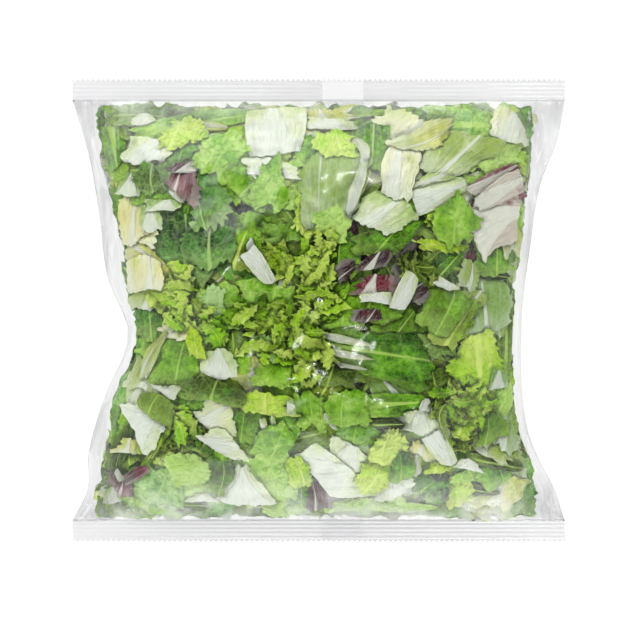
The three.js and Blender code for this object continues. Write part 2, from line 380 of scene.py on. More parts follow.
# %% A leaf's outline and relief
def outline(u, v, corners, form, rng):
    """A leaf's places seen from above, in metres, with its length and width."""
    foot_left, foot_right, tip_right, tip_left = [np.array(corners[n:n + 2]) * MM for n in (0, 2, 4, 6)]
    along = (tip_left + tip_right - foot_left - foot_right) / 2
    across = (foot_right + tip_right - foot_left - tip_left) / 2
    length, width = np.linalg.norm(along), np.linalg.norm(across)
    w = 2 * v - 1
    rounding = form.foot_round + (form.tip_round - form.foot_round) * v
    side = u * np.sqrt(1 - rounding * w ** 2 / 2)
    end = w * np.sqrt(1 - rounding * u ** 2 / 2)
    share, rise = ((side + 1) / 2)[:, None], ((end + 1) / 2)[:, None]
    place = (foot_left * (1 - share) + foot_right * share) * (1 - rise)
    place = place + (tip_left * (1 - share) + tip_right * share) * rise

    uneven, fine = waves(rng, 1.4, 5), waves(rng, 0.35, 5)
    at_side, at_end, near_tip = np.abs(u) ** 3, np.abs(w) ** 3, np.clip(w, 0, 1)
    ragged = form.torn * (uneven(w, np.sign(u) * 2) + 0.5 * fine(w, np.sign(u) * 2))
    sideways = np.sign(u) * at_side * (ragged * width + (form.bulge * length) * (1 - w ** 2))
    frayed = form.torn * (uneven(u, np.sign(w) * 2 + 5) + 0.5 * fine(u, np.sign(w) * 2 + 5))
    lengthways = np.sign(w) * at_end * frayed * length
    lengthways = lengthways + near_tip ** 2 * form.tip_bulge * length * (1 - u ** 2)
    if form.teeth:
        saw = (v * form.teeth + 0.37 * np.sign(u)) % 1.0
        deep = form.tooth * MM * (0.7 + 0.5 * fine(w + 3, np.sign(u)))
        sideways = sideways + np.sign(u) * at_side ** 2 * deep * (saw ** 1.5 - 0.35)
        saw = (u * form.teeth / 2 * min(1, width / length) + 0.5) % 1.0
        lengthways = lengthways + near_tip ** 6 * form.tooth * MM * (saw - 0.3)
    sideways = sideways + form.lean * length * (1 - w ** 2)
    place = place + sideways[:, None] * across / width + lengthways[:, None] * along / length
    return place[:, 0], place[:, 1], length, width


def relief(u, v, x, y, length, width, form, rng):
    """How far each vertex stands towards the film, in metres."""
    w = 2 * v - 1
    edge = np.maximum(np.abs(u), np.abs(w) * 0.7) ** 2
    phase = rng.uniform(0, 6.3, 2)
    own_phase = np.where(u > 0, phase[0], phase[1])
    z = form.ruffle * MM * edge * np.sin(2 * math.pi * form.ruffles * v + own_phase + 1.3 * np.sin(7 * v))
    z = z + form.crumple * MM * (waves(rng, LARGE_HUMP)(x, y) + 0.5 * waves(rng, SMALL_HUMP)(x, y))
    z = z - form.cup * 0.3 * width * u ** 2 - form.bend * 0.12 * length * w ** 2
    z = z + form.tilt * (rng.uniform(-1, 1) * u * width / 2 + rng.uniform(-1, 1) * w * length / 2)
    return z + form.curl * MM * np.sin(2 * math.pi * (v * 2 + 0.5 * u) + phase[0])


def shaped(u, v, corners, rng, **changes):
    """A leaf's vertices in metres, from its corners (foot left, foot right, tip right, tip left) in mm."""
    form = SimpleNamespace(**{**PLAIN_LEAF, **changes})
    x, y, length, width = outline(u, v, corners, form, rng)
    return x, y, relief(u, v, x, y, length, width, form, rng)


flat_u, flat_v = [grid.ravel() for grid in np.meshgrid(np.linspace(-1, 1, 9), np.linspace(0, 1, 9))]
trial = shaped(flat_u, flat_v, (-10, -15, 10, -15, 8, 15, -8, 15), np.random.default_rng(1))
print("a trial leaf's box in mm:", [round(float(np.ptp(side)) / MM, 1) for side in trial])

# %% [markdown]
# ## Packing leaves against the film
# In the real bag the leaves press outwards against the film and on each other. We pack the other way round,
# from the film inwards. A pile keeps a ceiling: the height that the next leaf has to stay under. Each leaf
# hangs from its highest point, bends under the ceiling, and then lowers the ceiling where it lies. So leaves
# overlap in the order in which they were laid. Where no room is left they stop at the bag's middle, and only
# there may they cut through each other. A leaf that sticks out of the filling is first pushed in whole, and
# what still sticks out is held back at the edge. The push differs, so the filling's edge stays ragged.

# %% Where the filling ends
RAGGED = 0.5 * MM  # how uneven the filling's sides are
UNEVEN = 5 * MM  # how much further in than the outermost leaf another one may end
PUSHED = 6 * MM  # how far a leaf is pushed in whole at most
CORNER_FROM, CORNER_OVER, CORNER_REACH = 86 * MM, 10 * MM, 9 * MM  # the filling reaches into the corners
END_GAP, END_RAGGED = 1.2 * MM, 1.4 * MM  # the gap between the filling and the seals, and how uneven it is
SIDE_GAP = 4 * MM  # the least gap between the filling and the film's side
FOOT_REACH = 1 * MM  # how much nearer to its seal the filling comes at the foot
ragged = waves(np.random.default_rng(2), 7 * MM, 7)
leaves_end = root_y - END_GAP - END_RAGGED * (1 + ragged(map_x, map_x * 0 + 2))
into_corner = CORNER_REACH * np.clip((np.abs(map_y) - CORNER_FROM) / CORNER_OVER, 0, 1)
leaves_left = np.maximum(fill_left - into_corner, film_left + SIDE_GAP)
leaves_left = leaves_left + RAGGED * (1 + ragged(map_y, map_y * 0))
leaves_right = np.minimum(fill_right + into_corner, film_right - SIDE_GAP)
leaves_right = leaves_right - RAGGED * (1 + ragged(map_y, map_y + 1))


def pushed_in(overlap):
    """How far a leaf that sticks out of the filling is pushed in whole."""
    return min(PUSHED, max(0.0, float(overlap.max())))


def kept_inside(x, y, inset):
    """A leaf's places, pushed in and then held inside the filling's edge."""
    x = x + pushed_in(np.interp(y, map_y, leaves_left) + inset - x)
    x = x - pushed_in(x - np.interp(y, map_y, leaves_right) + inset)
    last_y = np.interp(x, map_x, leaves_end)
    y = y + pushed_in(-last_y - FOOT_REACH - y) - pushed_in(y - last_y)
    y = np.clip(y, -last_y - FOOT_REACH, last_y)
    return np.clip(x, np.interp(y, map_y, leaves_left), np.interp(y, map_y, leaves_right)), y


print("the filling is", round(float(leaves_right.max() - leaves_left.min()) / MM), "mm wide at most")

# %% Kinds of leaf
# Each kind: the piece it joins, the length of its grid's squares in mm, the width of its midrib, how thick
# it is at the edge and at the midrib in mm, and how its shape differs from a plain leaf.
KINDS = {
    "blade": ("green_leaves", 1.25, 0.03, 0.4, 0.8, dict(ruffle=0.7)),
    "round": ("toothed_leaves", 1.1, 0.03, 0.4, 0.8,
              dict(foot_round=0.3, tip_round=0.5, cup=0.2, teeth=8, tooth=2.2)),
    "long": ("green_leaves", 1.3, 0.3, 0.4, 1.1, dict(crumple=0.4, cup=0.2, torn=0.03)),
    "oak": ("toothed_leaves", 1.1, 0.06, 0.4, 0.8,
            dict(tip_round=0.5, teeth=9, tooth=2.6, ruffle=1.3, torn=0.06)),
    "glossy": ("green_leaves", 1.1, 0.1, 0.4, 1.0, dict(tip_round=0.5, crumple=1.3, ruffle=1.4)),
    "broad": ("pale_leaves", 1.3, 0.2, 0.5, 1.2,
              dict(tip_round=0.3, foot_round=0.05, cup=0.15, crumple=1.1, ruffle=0.7)),
    "heart": ("pale_leaves", 1.2, 0.25, 0.5, 1.3, dict(tip_round=0.3, cup=0.2)),
    "plate": ("pale_leaves", 1.3, 0.8, 0.6, 1.5, dict(tip_round=0.08, foot_round=0.05, torn=0.06)),
    "stick": ("pale_leaves", 1.2, 0.95, 1.2, 3.0,
              dict(tip_round=0.1, ruffle=0.1, crumple=0.3, cup=0.5, bend=0.1, torn=0.02)),
    "frill": ("frilly_leaves", 0.75, 0.1, 0.35, 0.8,
              dict(foot_round=0.4, tip_round=0.6, teeth=7, tooth=3.0, ruffle=1.6, ruffles=4, torn=0.08)),
    "soft": ("frilly_leaves", 1.1, 0.1, 0.4, 0.8, dict(foot_round=0.3, tip_round=0.6, ruffle=1.0)),
    "curl": ("frilly_leaves", 0.6, 0.2, 0.35, 0.9,
             dict(foot_round=0.2, tip_round=0.5, teeth=11, tooth=3.4, ruffle=0.8, curl=2.2, lean=0.2)),
    "sprig": ("frilly_leaves", 0.75, 0.12, 0.35, 0.7,
              dict(foot_round=0.2, tip_round=0.6, teeth=4, tooth=2.6, ruffle=0.9, ruffles=2, crumple=0.7,
                   torn=0.1, tilt=0.4)),
    "chicory": ("red_leaves", 1.1, 0.07, 0.4, 1.0, dict(tip_round=0.4, cup=0.3, ruffle=0.8)),
    "red_rib": ("red_leaves", 1.1, 0.8, 0.5, 1.8, dict(cup=0.5, crumple=0.6, torn=0.03)),
}
PIECES = ("green_leaves", "toothed_leaves", "frilly_leaves", "pale_leaves", "red_leaves")
meshes = {name: bmesh.new() for name in PIECES}
layers = {}
for name, mesh in meshes.items():
    mesh.loops.layers.uv.new("leaf")
    layers[name] = (mesh.verts.layers.float_color.new("tone"), mesh.verts.layers.deform.verify())
print("kinds of leaf:", ", ".join(KINDS))

# %% Piles of leaves
FILM_GAP = 0.9 * MM  # between the film and the uppermost leaves
LEAF_GAP = 0.4 * MM  # between a leaf and those above it
PRESSED = 1.0 * MM  # how much of a leaf's relief the film presses flat
THICKEST = 3.0 * MM  # a leaf's wall where its vertex group says 1
LEAST, LEAST_SPREAD = 0.1, 0.35  # how far the lowest leaves stay off the bag's middle, in mm
GOLDEN = 0.618  # its multiples spread evenly, so leaves laid one after the other differ


def lowest_near(table):
    """Each map point's lowest neighbour."""
    padded = np.pad(table, 1, mode="edge")
    rows = np.minimum(np.minimum(padded[:-2], padded[1:-1]), padded[2:])
    return np.minimum(np.minimum(rows[:, :-2], rows[:, 1:-1]), rows[:, 2:])


class Pile:
    """Leaves packed inwards from one face of the bag: sign is 1 for the front and -1 for the back."""

    def __init__(self, sign):
        self.sign = sign
        self.surface = front_map if sign > 0 else -back_map
        self.middle = sign * middle_map
        self.ceiling = self.surface - FILM_GAP
        self.count = 0

    def packed(self, x, y, z, thickness, drop):
        """The height of each vertex under the film and the ceiling, which this leaf then lowers."""
        spread = self.count * GOLDEN % 1
        sunk = np.maximum(0, z.max() - z - PRESSED)
        height = read(self.surface, x, y) - FILM_GAP - drop * MM - sunk
        room = read(blurred(lowest_near(self.ceiling)), x, y) - LEAF_GAP
        least = (LEAST + LEAST_SPREAD * spread) * MM
        height = np.maximum(np.minimum(height, room), read(self.middle, x, y) + least)
        i = np.rint((x - map_x[0]) / CELL).astype(int).clip(0, len(map_x) - 1)
        j = np.rint((y - map_y[0]) / CELL).astype(int).clip(0, len(map_y) - 1)
        np.minimum.at(self.ceiling, (j, i), height - thickness * MM)
        return height

    def lay(self, kind, corners, lightness, warmth, rng, drop=0.0, coarse=1.0, rib=None, uneven=UNEVEN,
            **changes):
        """Lays one leaf between four corners in mm. Its face looks outwards whichever way they run."""
        piece, square, usual_rib, thin, thick, form = KINDS[kind]
        a, b, c, d = [Vector(corners[n:n + 2]) for n in (0, 2, 4, 6)]
        if (b - a).cross(d - a) * self.sign < 0:
            a, b, c, d = b, a, d, c
        columns = max(4, round(((b - a).length + (c - d).length) / 2 / square / coarse))
        rows = max(4, round(((c - b).length + (d - a).length) / 2 / square / coarse))
        mesh, (tone, group) = meshes[piece], layers[piece]
        made = bmesh.ops.create_grid(mesh, x_segments=columns, y_segments=rows, size=1, calc_uvs=True)
        flat = np.array([vert.co[:2] for vert in made["verts"]])
        u, v = flat[:, 0], (flat[:, 1] + 1) / 2
        x, y, z = shaped(u, v, (*a, *b, *c, *d), rng, **{**form, **changes})
        x, y = kept_inside(x, y, uneven * (self.count * GOLDEN % 1) ** 2)
        thickness = thin + (thick - thin) * (1 - np.abs(u)) * (1.1 - v)
        height = self.packed(x, y, z, thickness, drop) * self.sign
        numbers = (lightness, warmth, usual_rib if rib is None else rib, rng.uniform(0, 5))
        for vert, place, wall in zip(made["verts"], zip(x, y, height), thickness):
            vert.co = place
            vert[tone] = numbers
            vert[group][0] = wall * MM / THICKEST
        self.count += 1


front_pile, back_pile = Pile(1), Pile(-1)
print("the front pile starts", round(float(front_pile.ceiling.max()) / MM, 1), "mm up")

# %% [markdown]
# ## The leaves that show best
# The front of the bag gets its leaves one by one, as a food stylist would lay them: the large white ribs, the
# big glossy leaf right of the middle, the curly endive down the middle. Each row says what the leaf is, its
# four corners in mm from the bag's middle (the foot's two, then the tip's two), how light and how yellow it
# is, and sometimes what sets it apart from others of its kind. The first table holds leaves that lie close
# to the film, over nearly all the others.

# %% Leaves that run over the others
RUNNING_OVER = [
    ("blade", (-31, 54, -17, 54, -21, 71, -28, 73), 0.62, 0.35, dict(tip_round=0.7)),
    ("blade", (-45, 60, -27, 51, -27, 56, -41, 69), 0.6, 0.3),
    ("soft", (-80, 86, -64, 83, -61, 93, -70, 95), 0.72, 0.5),
    ("blade", (-61, 69, -45, 69, -37, 84, -54, 88), 0.72, 0.2, dict(crumple=0.4)),
    ("soft", (2, 80, 17, 79, 16, 86, -1, 90), 0.75, 0.5),
    ("blade", (1, 37, 11, 37, 14, 47, 2, 49), 0.85, 0.15),
    ("blade", (61, 37, 74, 34, 78, 51, 64, 57), 0.6, 0.45),
    ("blade", (-77, -79, -68, -87, -55, -84, -62, -75), 0.98, 0.1),
    ("blade", (-56, -89, -49, -90, -46, -78, -56, -77), 0.42, 0.1),
    ("soft", (-12, -88, -5, -87, -7, -77, -15, -77), 0.6, 0.7),
    ("blade", (-33, -67, -20, -77, -14, -64, -24, -60), 0.62, 0.3),
    ("blade", (37, -83, 46, -84, 46, -75, 39, -77), 0.5, 0.0),
    ("frill", (26, -75, 40, -82, 46, -63, 31, -60), 0.9, 0.4),
    ("blade", (-90, -47, -78, -59, -74, -50, -84, -43), 0.1, 0.5),
    ("blade", (-66, -47, -40, -45, -40, -36, -64, -37), 0.32, 0.2),
    ("heart", (36, 83, 50, 82, 64, 91, 60, 100), 0.4, 0.8, dict(rib=0.1)),
    ("heart", (-88, -31, -84, -33, -79, -14, -81, -13), 0.2, 0.5),
    ("soft", (-63, -20, -58, -22, -60, -13, -62, -13), 0.6, 1.0),
    ("oak", (-88, 60, -80, 62, -77, 72, -90, 72), 0.35, 0.3),
    ("blade", (8, -57, 23, -56, 23, -43, 5, -43), 0.58, 0.35),
    ("soft", (18, -84, 26, -92, 35, -84, 28, -76), 0.8, 0.7),
]
print(len(RUNNING_OVER), "leaves run over the others")

# %% [markdown]
# The next tables go over the front from region to region. They are laid by kind: firm ribs and plates first,
# and soft blades under them. Within those two groups, the row that comes first lies on top.

# %% Leaves at the upper left
UPPER_LEFT = [
    ("plate", (-34, 78, -9, 80, -7, 104, -37, 102), 0.95, 0.1, dict(tip_bulge=0.0, torn=0.02)),
    ("plate", (-39, 68, -11, 66, -11, 71, -39, 76), 0.85, 0.0, dict(tip_bulge=0.5, bend=1.0)),
    ("stick", (-32, 33, -39, 27, -27, 13, -21, 15), 0.85, 0.05),
    ("plate", (-34, 37, -36, 30, -32, 28, -33, 36), 1.0, 0.0),
    ("plate", (-100, 74, -77, 75, -72, 84, -94, 88), 0.75, 0.0),
    ("round", (-78, 73, -65, 74, -66, 82, -76, 81), 0.5, 0.25),
    ("long", (-97, 95, -88, 89, -28, 101, -30, 106), 0.62, 0.3, dict(lean=-0.03)),
    ("stick", (-68, 93, -66, 96, -47, 94, -48, 91), 0.6, 0.5),
    ("frill", (-43, 83, -36, 82, -35, 91, -42, 92), 0.6, 0.8),
    ("heart", (-66, 81, -58, 82, -50, 90, -56, 90), 0.7, 0.3),
    ("blade", (-66, 78, -54, 76, -52, 86, -62, 84), 0.4, 0.8),
    ("red_rib", (-74, 69, -62, 70, -57, 77, -73, 72), 0.35, 0.0),
    ("chicory", (-74, 65, -66, 55, -62, 70, -70, 72), 0.45, 0.0),
    ("blade", (-104, 106, -97, 97, -62, 98, -62, 106), 0.42, 0.25),
    ("soft", (-67, 101, -50, 102, -51, 107, -63, 107), 0.35, 0.9),
    ("plate", (-97, 93, -83, 95, -83, 99, -93, 100), 0.7, 0.0, dict(tip_round=0.8, foot_round=0.8)),
    ("blade", (-98, 89, -89, 86, -88, 94, -96, 95), 0.0, 0.2),
    ("long", (-99, 96, -111, 93, -106, 70, -98, 79), 0.58, 0.2),
    ("heart", (-116, 92, -103, 92, -99, 105, -106, 104), 0.8, 0.5),
    ("blade", (-105, 68, -100, 68, -100, 78, -107, 78), 0.4, 0.9),
    ("long", (-100, 68, -99, 74, -78, 75, -79, 71), 0.1, 0.15),
    ("plate", (-104, 59, -92, 57, -90, 68, -101, 69), 0.45, 0.1),
    ("blade", (-91, 55, -73, 55, -71, 66, -92, 68), 0.6, 0.4),
    ("plate", (-76, 60, -69, 54, -66, 56, -75, 62), 0.7, 0.0),
    ("plate", (-88, 50, -72, 50, -68, 55, -86, 56), 0.5, 0.0),
    ("heart", (-102, 36, -92, 38, -88, 47, -99, 59), 0.85, 0.9),
    ("plate", (-89, 40, -79, 40, -80, 52, -90, 53), 0.55, 0.0),
    ("heart", (-99, 36, -88, 35, -89, 46, -97, 45), 0.85, 0.6),
    ("heart", (-98, 27, -96, 37, -82, 27, -77, 19), 0.45, 1.0),
    ("broad", (-97, 9, -80, 10, -79, 25, -98, 27), 0.95, 0.55),
    ("soft", (-83, 2, -73, 3, -70, 20, -80, 20), 0.75, 0.6),
    ("heart", (-71, 12, -64, 4, -63, 8, -68, 17), 0.5, 0.2),
    ("round", (-62, 43, -46, 45, -50, 66, -62, 69), 0.5, 0.0),
    ("oak", (-66, 26, -46, 22, -43, 42, -62, 46), 0.4, 0.0),
    ("oak", (-83, 24, -62, 13, -52, 38, -78, 48), 0.38, 0.05),
    ("blade", (-82, 38, -64, 34, -62, 52, -76, 50), 0.5, 0.1),
    ("frill", (-48, 26, -33, 16, -26, 30, -42, 44), 0.3, 0.3),
    ("heart", (-98, 3, -84, 3, -84, 11, -96, 13), 0.2, 0.4),
]
print(len(UPPER_LEFT), "leaves at the upper left")

# %% Leaves in the upper middle
UPPER_MIDDLE = [
    ("plate", (13, 48, 17, 49, 25, 74, 21, 74), 0.8, 0.0, dict(ruffle=0.1)),
    ("plate", (21, 74, 25, 74, 19, 88, 15, 86), 0.7, 0.1, dict(ruffle=0.1, lean=0.2)),
    ("blade", (-10, 73, 1, 73, 7, 87, -8, 84), 0.62, 0.15),
    ("broad", (-6, 42, 14, 42, 27, 76, -12, 73), 0.3, 0.15, dict(tip_bulge=0.25, tip_round=0.5, rib=0.0)),
    ("soft", (-12, 42, -2, 40, 2, 55, -10, 58), 0.75, 0.5),
    ("blade", (-14, 52, -6, 50, -4, 60, -12, 60), 0.9, 0.1),
    ("round", (-22, 35, -3, 35, -2, 41, -22, 46), 0.4, 0.65, dict(cup=1.0)),
    ("blade", (-39, 37, -28, 35, -25, 44, -37, 46), 0.6, 0.6),
    ("heart", (-6, 98, 14, 99, 14, 102, -6, 105), 0.4, 0.9),
    ("plate", (-6, 92, 18, 91, 20, 95, -6, 98), 0.75, 0.1),
    ("long", (22, 71, 31, 70, 37, 94, 18, 92), 0.5, 0.15, dict(rib=0.1)),
    ("stick", (16, 53, 20, 56, 26, 71, 21, 70), 0.3, 0.6),
    ("broad", (31, 58, 44, 52, 52, 82, 35, 87), 0.9, 0.35, dict(rib=0.5)),
    ("broad", (16, 47, 33, 38, 53, 46, 29, 62), 0.6, 0.05, dict(rib=0.3)),
    ("heart", (30, 95, 50, 92, 56, 101, 38, 105), 0.8, 0.4),
    ("long", (14, 101, 48, 104, 50, 106, 16, 105), 0.4, 0.7),
]
print(len(UPPER_MIDDLE), "leaves in the upper middle")

# %% Leaves at the upper right
UPPER_RIGHT = [
    ("plate", (46, 61, 57, 64, 70, 67, 55, 69), 0.6, 0.2),
    ("soft", (50, 59, 62, 61, 70, 66, 58, 65), 0.7, 0.6),
    ("plate", (45, 61, 50, 47, 74, 60, 72, 67), 0.7, 0.0, dict(torn=0.01)),
    ("broad", (50, 70, 68, 67, 100, 86, 58, 93), 0.35, 0.3, dict(rib=0.12, tip_bulge=0.0)),
    ("frill", (48, 35, 50, 30, 76, 30, 70, 34), 0.6, 1.0, dict(tooth=2.4)),
    ("long", (50, 107, 64, 92, 98, 92, 90, 104), 0.68, 0.1),
    ("broad", (92, 91, 112, 86, 119, 101, 97, 108), 1.0, 0.35, dict(rib=0.5)),
    ("red_rib", (78, 56, 80, 50, 104, 60, 101, 72), 0.9, 0.1, dict(rib=0.97)),
    ("red_rib", (75, 48, 83, 24, 101, 36, 100, 62), 0.85, 0.15, dict(lean=-0.1, rib=0.9, cup=0.3)),
    ("red_rib", (72, 60, 80, 58, 103, 72, 96, 74), 0.7, 0.2, dict(rib=0.97)),
    ("heart", (98, 32, 105, 31, 104, 48, 99, 48), 0.2, 0.7),
    ("blade", (74, 68, 98, 68, 106, 88, 82, 86), 0.95, 0.05),
    ("curl", (53, 50, 57, 43, 66, 46, 64, 57), 0.6, 0.5),
    ("blade", (77, 35, 83, 35, 83, 42, 80, 46), 0.25, 0.1),
    ("chicory", (76, 46, 80, 45, 80, 52, 77, 53), 0.1, 0.3),
    ("blade", (20, 33, 30, 26, 56, 40, 24, 41), 0.45, 0.15),
    ("long", (52, 11, 58, 12, 73, 27, 66, 28), 0.45, 0.15),
    ("heart", (69, 14, 76, 12, 78, 21, 74, 22), 0.3, 0.3),
    ("blade", (82, 20, 98, 18, 101, 33, 86, 32), 0.5, 0.15),
    # Painted shade: this near-black strip fills a dark gap between the leaves.
    ("long", (66, 21, 70, 25, 101, 20, 100, 15), 0.05, 0.0),
]
print(len(UPPER_RIGHT), "leaves at the upper right")

# %% Leaves down the middle
DOWN_THE_MIDDLE = [
    ("frill", (-6, 24, 0, 20, 9, 28, 2, 36), 0.5, 0.65),
    ("frill", (-9, 6, 0, 4, 8, 22, -4, 22), 0.45, 0.65),
    ("frill", (-17, -22, -3, -26, 1, -8, -12, -4), 0.4, 0.65),
    ("frill", (-27, 20, -17, 23, -18, 37, -30, 35), 0.5, 0.8),
    ("blade", (-20, 20, -6, 17, 0, 22, -18, 25), 0.65, 0.5),
    ("round", (-56, 0, -49, -1, -50, 8, -55, 8), 1.0, 0.0),
    ("blade", (-61, -3, -44, -9, -39, 10, -57, 12), 0.78, 0.35),
    ("blade", (-60, -16, -48, -14, -46, 0, -60, 0), 0.65, 0.4),
    ("blade", (-39, 0, -16, -3, -12, 13, -39, 13), 0.75, 0.3),
    ("heart", (-18, 10, -14, 12, -9, -4, -13, -6), 0.4, 0.2),
    ("frill", (-37, -10, -24, -12, -20, 2, -36, 2), 0.5, 0.7),
    ("blade", (-22, -10, -10, -11, -10, 0, -22, 2), 0.25, 0.3),
    ("round", (-33, -21, -22, -25, -19, -18, -28, -15), 0.85, 0.5),
    ("blade", (-28, -38, -7, -38, -9, -24, -26, -25), 0.66, 0.5),
    ("blade", (9, 19, 18, 20, 21, 35, 5, 33), 0.5, 0.2),
    ("plate", (35, 1, 43, 0, 50, 15, 44, 20), 1.0, 0.0, dict(torn=0.01)),
    ("plate", (20, 4, 38, 3, 37, 9, 21, 8), 0.95, 0.0),
    ("chicory", (21, 10, 33, 8, 37, 16, 25, 14), 0.45, 0.0, dict(rib=0.4)),
    ("red_rib", (18, 19, 34, 22, 38, 30, 24, 27), 0.3, 0.0, dict(rib=0.3)),
    ("chicory", (10, 21, 12, 16, 16, 19, 15, 22), 0.2, 0.0),
    ("chicory", (46, 9, 50, 6, 54, 9, 49, 12), 0.2, 0.0),
    ("chicory", (19, -5, 28, -5, 30, -2, 22, -1), 0.2, 0.2),
    ("blade", (1, -8, 20, -8, 22, 8, 2, 12), 0.5, 0.4),
    ("blade", (18, -2, 36, -5, 38, 5, 20, 8), 0.48, 0.3),
    ("frill", (40, 16, 56, 14, 58, 28, 42, 28), 0.15, 0.4),
]
print(len(DOWN_THE_MIDDLE), "leaves down the middle")

# %% Leaves at the middle left
MIDDLE_LEFT = [
    ("soft", (-78, 2, -70, -4, -60, -6, -68, 10), 0.6, 0.65),
    ("heart", (-79, -8, -71, -13, -65, -9, -66, -5), 0.75, 0.6),
    ("blade", (-82, -38, -64, -40, -60, -12, -78, -14), 0.55, 0.35, dict(tip_round=0.6)),
    ("plate", (-58, -34, -40, -34, -42, -21, -58, -20), 0.65, 0.0, dict(tip_round=0.5, foot_round=0.5)),
    ("blade", (-95, -9, -81, -10, -84, 4, -95, 3), 0.45, 0.0),
    ("oak", (-84, -5, -74, -5, -72, 4, -84, 5), 0.15, 0.2),
    ("oak", (-82, -16, -72, -16, -70, -7, -80, -6), 0.3, 0.2),
    ("blade", (-95, -24, -82, -22, -82, -15, -92, -11), 0.55, 0.35),
    ("heart", (-98, -39, -84, -39, -82, -22, -95, -23), 0.1, 0.4),
    ("blade", (-56, -20, -39, -19, -39, -9, -50, -10), 0.3, 0.3),
    ("heart", (-64, -27, -62, -33, -54, -32, -56, -25), 0.3, 0.3),
    ("blade", (-44, -29, -36, -30, -34, -16, -44, -19), 0.6, 0.6),
]
print(len(MIDDLE_LEFT), "leaves at the middle left")

# %% Leaves at the lower left
LOWER_LEFT = [
    ("plate", (-100, -49, -88, -73, -77, -61, -87, -47), 0.95, 0.0),
    ("plate", (-63, -63, -50, -72, -34, -77, -47, -60), 0.9, 0.05, dict(crumple=1.0, torn=0.05)),
    ("plate", (-53, -97, -22, -99, -35, -79, -42, -80), 0.8, 0.0),
    ("plate", (-86, -37, -73, -45, -65, -37, -75, -39), 0.75, 0.0, dict(lean=-0.1)),
    ("heart", (-60, -50, -52, -62, -43, -60, -50, -48), 0.75, 0.2),
    ("heart", (-101, -72, -89, -71, -91, -67, -97, -66), 0.6, 0.8),
    ("red_rib", (-99, -84, -98, -89, -85, -81, -88, -78), 0.45, 0.1, dict(rib=0.0)),
    ("plate", (-104, -82, -102, -80, -98, -86, -101, -87), 0.8, 0.0),
    ("chicory", (-104, -86, -98, -95, -97, -88, -103, -82), 0.5, 0.1),
    ("blade", (-109, -92, -104, -92, -101, -63, -105, -63), 0.3, 0.1, dict(lean=-0.1)),
    ("round", (-97, -92, -76, -99, -71, -86, -88, -80), 0.78, 0.2, dict(foot_round=0.3)),
    ("blade", (-73, -94, -53, -94, -54, -84, -68, -86), 0.8, 0.35),
    ("plate", (-77, -77, -70, -80, -58, -76, -68, -73), 0.6, 0.1),
    ("plate", (-68, -97, -50, -97, -56, -93, -62, -93), 0.7, 0.0),
    ("frill", (-75, -57, -66, -67, -61, -58, -68, -51), 0.25, 0.3),
    ("curl", (-88, -78, -84, -74, -75, -58, -79, -60), 0.4, 0.5),
    ("long", (-68, -68, -56, -74, -53, -71, -62, -64), 0.3, 0.1),
    ("blade", (-60, -77, -44, -78, -46, -71, -56, -71), 0.6, 0.5),
    ("blade", (-84, -49, -60, -51, -50, -42, -78, -42), 0.5, 0.2),
    ("blade", (-101, -67, -94, -66, -93, -57, -100, -55), 0.6, 0.5),
    ("blade", (-107, -66, -101, -66, -99, -53, -105, -52), 0.5, 0.1),
    ("blade", (-104, -78, -90, -76, -88, -70, -104, -71), 0.05, 0.3),
    ("blade", (-102, -100, -76, -101, -80, -94, -98, -92), 0.7, 0.3),
    ("plate", (-110, -98, -100, -98, -100, -91, -108, -90), 0.6, 0.0),
    ("long", (-92, -104, -90, -98, -58, -99, -58, -104), 0.35, 0.15),
    ("frill", (-76, -72, -64, -74, -62, -62, -74, -62), 0.15, 0.3),
]
print(len(LOWER_LEFT), "leaves at the lower left")

# %% Leaves in the lower middle
LOWER_MIDDLE = [
    ("plate", (-12, -73, 6, -94, 30, -94, 0, -67), 0.9, 0.0, dict(torn=0.02)),
    ("plate", (6, -76, 18, -84, 28, -76, 6, -61), 0.75, 0.05, dict(crumple=0.9)),
    ("plate", (-30, -55, -26, -67, -24, -67, -27, -53), 0.6, 0.1),
    ("plate", (-24, -53, -23, -68, -20, -66, -22, -54), 0.6, 0.2),
    ("soft", (-38, -50, -17, -51, -17, -44, -36, -43), 0.75, 0.5),
    ("plate", (-16, -45, -16, -52, -11, -52, -13, -45), 0.5, 0.0),
    ("blade", (-27, -94, -12, -95, -16, -74, -34, -73), 0.75, 0.35),
    ("blade", (-9, -59, 2, -58, 3, -44, -8, -44), 0.68, 0.5),
    ("plate", (2, -53, 9, -61, 10, -60, 4, -51), 0.7, 0.0),
    ("long", (23, -54, 24, -43, 53, -42, 52, -51), 0.55, 0.2),
    ("blade", (12, -66, 27, -66, 30, -59, 12, -57), 0.5, 0.15),
    ("heart", (30, -94, 46, -93, 44, -84, 34, -84), 0.85, 0.1, dict(ruffle=1.4)),
    ("blade", (-22, -65, -12, -66, -10, -54, -22, -52), 0.6, 0.1),
    ("blade", (-39, -63, -30, -64, -29, -51, -39, -51), 0.4, 0.2),
    ("blade", (8, -102, 50, -103, 50, -96, 9, -95), 0.85, 0.1),
    ("blade", (-14, -102, -4, -101, -5, -89, -14, -88), 0.6, 0.1),
    ("blade", (-26, -103, -14, -103, -12, -92, -25, -93), 0.95, 0.1),
    ("chicory", (-4, -98, 6, -98, 3, -89, -3, -91), 0.2, 0.4),
    ("long", (20, -60, 21, -56, 42, -55, 42, -60), 0.05, 0.0),
]
print(len(LOWER_MIDDLE), "leaves in the lower middle")

